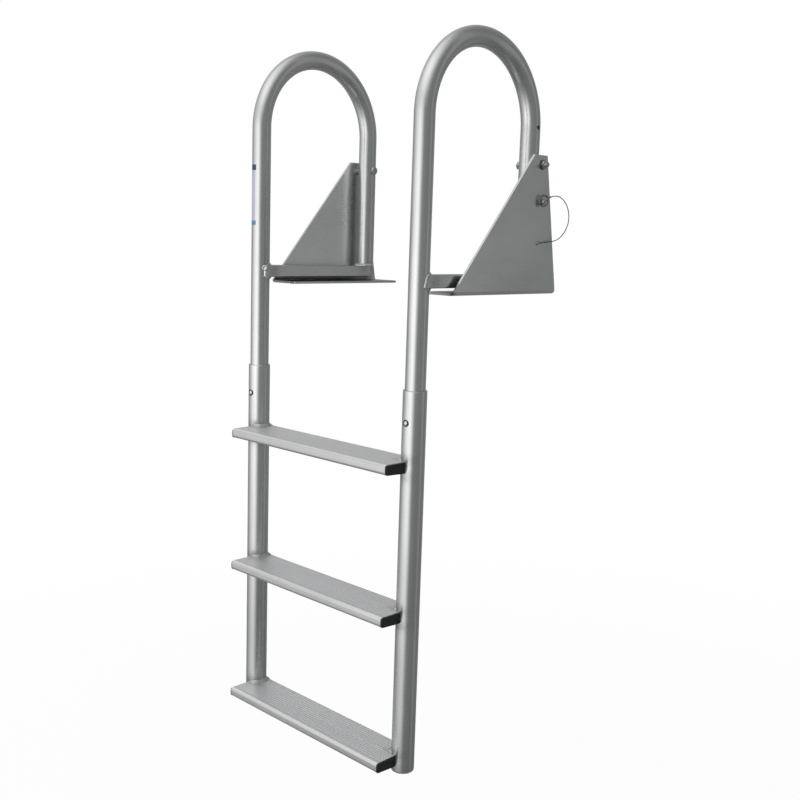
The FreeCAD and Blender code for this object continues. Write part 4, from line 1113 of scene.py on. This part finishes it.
# Hinge bolts: a stainless hex bolt through each rear leg and plate, with a
# sleeve that keeps the leg off the plate, a washer and a nut. The thread runs
# out past the nut.
hinge_bolt_radius, hinge_flats = 0.00475, 0.0143
head_seat, head_height = 0.01935, 0.0062
sleeve_gap, washer_thick, nut_high, stub = 0.009, 0.0016, 0.006, 0.006
thread_pitch, thread_depth = 0.0015, 0.00055
thread_in, thread_out, tip_edge, tip_drop = 0.0003, 0.0004, 0.0006, 0.0008
spacer_profile = [(0.0049, 0.0002), (0.0052, 0.0), (0.0067, 0.0), (0.0070, 0.0003),
                  (0.0070, 0.0084), (0.0067, 0.0087), (0.0052, 0.0087), (0.0049, 0.0085)]
washer_profile = [(0.0049, 0.0001), (0.0051, 0.0), (0.0093, 0.0), (0.0095, 0.0003),
                  (0.0095, 0.0011), (0.0091, 0.0016), (0.0051, 0.0016), (0.0049, 0.0015)]


def hexed(profile, closed=False):
    """A turned shape with its outside cut to the hinge's hexagon: no point lies farther out
    than the flat that it faces, which is half the flats' distance over the cosine."""
    return turned(profile, 72, closed, lambda r, h, a: np.minimum(
        r, hinge_flats / 2 / np.cos(a % (pi / 3) - pi / 6)))


def threaded(radius, start, end):
    """A threaded shank from start to end: the radius dips in a screw line, less at both ends,
    and the tip is stepped in."""
    heights = np.concatenate([[start], np.arange(start + 0.0001, end - 0.0008, thread_pitch / 8),
                              [end - 0.0007, end]])

    def reach(r, h, a):
        wave = np.abs(((h / thread_pitch - a / (2 * pi)) % 1.0) * 2 - 1)
        fade = (np.clip((end - tip_edge - h) / thread_out, 0, 1)
                * np.clip((h - start) / thread_in, 0, 1))
        return r - thread_depth * wave * fade - tip_drop * (h >= end - 1e-6)

    return turned(np.column_stack([np.full(len(heights), radius), heights]), reach=reach)


hex_corner = hinge_flats / 2 / cos(pi / 6)
head_face, head_cone, nut_cone = [hinge_flats * share for share in (0.47, 0.48, 0.485)]
head_drop, nut_drop = (hex_corner - head_cone) * 0.6, (hex_corner - nut_cone) * 0.58
nut_bore, nut_edge = 0.0046, 0.0050
plate_face = handrail_radius + sleeve_gap + sheet
nut_seat = plate_face + washer_thick
head = hexed([(head_face, -0.0003), (head_face, 0.0002), (hex_corner, 0.0003),
              (hex_corner, head_height - head_drop), (head_cone, head_height),
              (0.0006, head_height)])
shank = turned([(hinge_bolt_radius, -head_seat), (hinge_bolt_radius, nut_seat)])
thread = threaded(hinge_bolt_radius, nut_seat, nut_seat + nut_high + stub)
nut = hexed([(nut_bore, 0.0003), (nut_edge, 0.0), (nut_cone, 0.0), (hex_corner, nut_drop),
             (hex_corner, nut_high - nut_drop), (nut_cone, nut_high), (nut_edge, nut_high),
             (nut_bore, nut_high - 0.0003)], closed=True)
hinge_finish = stainless("hinge_bolt_steel", (0.52, 0.53, 0.53, 1), 0.22)
# The washer is coloured far darker than the bolt, its sleeve and its nut.
washer_finish = stainless("dull_washer_steel", (0.20, 0.205, 0.205, 1), 0.34)

for side, x in rail_x.items():
    hinge, along = np.array((x, rear_leg_y, hinge_z)), np.array((-inward[side], 0, 0))
    points, faces = joined([stand(head, hinge - along * head_seat, -along, (0, 1, 0)),
                            stand(shank, hinge, along), stand(thread, hinge, along)])
    make_piece(side + "_pivot_bolt", points, faces, "brackets", "fastener_steel", hinge_finish,
               [side + "_hinge_bolt"], grain=points[:, [1, 2, 0]])
    for piece, shape, seat, finish, node, first in (
            ("sleeve", turned(spacer_profile, 56, closed=True), head_seat, hinge_finish,
             "spacer", None),
            ("washer", turned(washer_profile, 64, closed=True), plate_face, washer_finish,
             "washer", None),
            ("nut", nut, nut_seat, hinge_finish, "nut", (0, 1, 0))):
        fit_piece("%s_pivot_%s" % (side, piece), shape, hinge + along * seat, along, "brackets",
                  "fastener_steel", finish, ["%s_hinge_%s" % (side, node)], first)


# Lock pin: a turned stainless pin through the right plate, with a collar and a
# cross-bored boss that holds the wire pull ring. A domed rivet holds the
# lanyard's eye below it.
pin_profile = [
    (0.0030, -0.0088), (0.0040, -0.0078), (0.0040, -0.0002), (0.0066, 0.0), (0.0069, 0.0003),
    (0.0069, 0.0017), (0.0062, 0.0025), (0.0050, 0.0028), (0.0049, 0.0040), (0.0054, 0.0048),
    (0.0055, 0.0103), (0.0051, 0.0110), (0.0044, 0.0114), (0.0036, 0.0115), (0.0034, 0.0111),
    (0.0004, 0.0110)]
ring_radius, ring_wire_radius, ring_turn_back = 0.0106, 0.0013, radians(18)
ring_place = lock_pin_place + (0.0068, 0.0006, 0.0022)
rivet_shank = [(0.0030, -0.0062), (0.0032, -0.0058), (0.0032, -0.0052), (0.0020, -0.0050),
               (0.0020, 0.0012), (0.0036, 0.0012)]
rivet_radius, rivet_side, rivet_rise = 0.00375, 0.0013, 0.0014

fit_piece("lock_pin_body", turned(pin_profile), lock_pin_place, plate_way, "brackets",
          "fastener_steel", hinge_finish, ["lock_pin"])
wire_x, wire_y = [ring_wire_radius * wave(around(16)) for wave in (np.cos, np.sin)]
ring = turned(np.column_stack([ring_radius + wire_x, wire_y]), 72, closed=True)
ring_bar = turned([(ring_wire_radius, -ring_radius), (ring_wire_radius, ring_radius)], 16)
ring_finish = stainless("pull_ring_wire", (0.30, 0.305, 0.305, 1), 0.34)
make_piece("pull_ring", *joined([
    stand(ring, ring_place, (cos(ring_turn_back), -sin(ring_turn_back), 0)),
    stand(ring_bar, ring_place, (sin(ring_turn_back), cos(ring_turn_back), 0))]),
    "brackets", "fastener_steel", ring_finish, ["lock_pin_ring"])
rivet = turned(np.concatenate([
    rivet_shank,
    np.column_stack([rivet_radius * np.cos(dome_turn[1:-1]),
                     rivet_side + rivet_rise * np.sin(dome_turn[1:-1])]),
    [(0.0003, rivet_side + rivet_rise)]]), 40)
rivet_finish = stainless("rivet_aluminium", (0.66, 0.67, 0.67, 1), 0.34)
fit_piece("lanyard_rivet_head", rivet, rivet_place, plate_way, "brackets", "fastener_steel",
          rivet_finish, ["lanyard_rivet"])


# Label: a plain self-adhesive strip on the left handrail's front leg, white
# with a greyer field and a blue band at each end, and no words.
label_low, label_high, label_lift, label_sunk = 0.119, 0.240, 0.00012, -0.0002
label_from, label_to = radians(-80), radians(17)
label_columns, label_rows = 25, 40
paper_dark, paper_light = (0.62, 0.62, 0.78, 1), (0.74, 0.74, 0.84, 1)
field_colour, field_from, field_to = (0.36, 0.35, 0.42, 1), (0.16, 0.24), (0.98, 0.90)
top_blue, top_band = (0.012, 0.03, 0.09, 1), (0.905, 0.91)
low_blue, low_band = (0.07, 0.17, 0.32, 1), (0.075, 0.07)


def printed_strip(name):
    """Paper with a fine fibre and faint yellowing, and on it the field and the two bands, each
    between places on the strip's height and width."""
    finish = Finish(name)
    up, round_tube = finish.painted("up_label"), finish.painted("round_label")
    fibre = finish.speckle(900, detail=3)
    yellow = finish.speckle(60, 60, 30, detail=4)
    field = finish.smooth(round_tube, *field_from) * finish.smooth(round_tube, *field_to)
    colour = finish.between(field * (0.75 + yellow * 0.25),
                            finish.between(yellow, paper_dark, paper_light), field_colour)
    colour = finish.between(finish.smooth(up, *top_band), colour, top_blue)
    colour = finish.between(finish.smooth(up, *low_band), colour, low_blue)
    return finish.dress(Base_Color=colour, Roughness=0.34 + fibre * 0.12,
                        Normal=finish.relief(fibre, 0.00002))


bearing = np.linspace(label_from, label_to, label_columns)
outer, inner = [grid(rail_x["left"] + (handrail_radius + lift) * np.sin(bearing),
                     front_leg_y - (handrail_radius + lift) * np.cos(bearing),
                     np.linspace(label_low, label_high, label_rows)[:, None])
                for lift in (label_lift, label_sunk)]
points, faces, used = walled(outer, inner)
up_share = (points[:, 2] - label_low) / (label_high - label_low)
round_share = np.tile(np.linspace(0, 1, label_columns), 2 * label_rows)[used]
make_piece("plain_label", points, facing_out(points, faces.tolist()), "ladder", "rail_aluminium",
           printed_strip("plain_label"), extra={"up_label": up_share, "round_label": round_share})
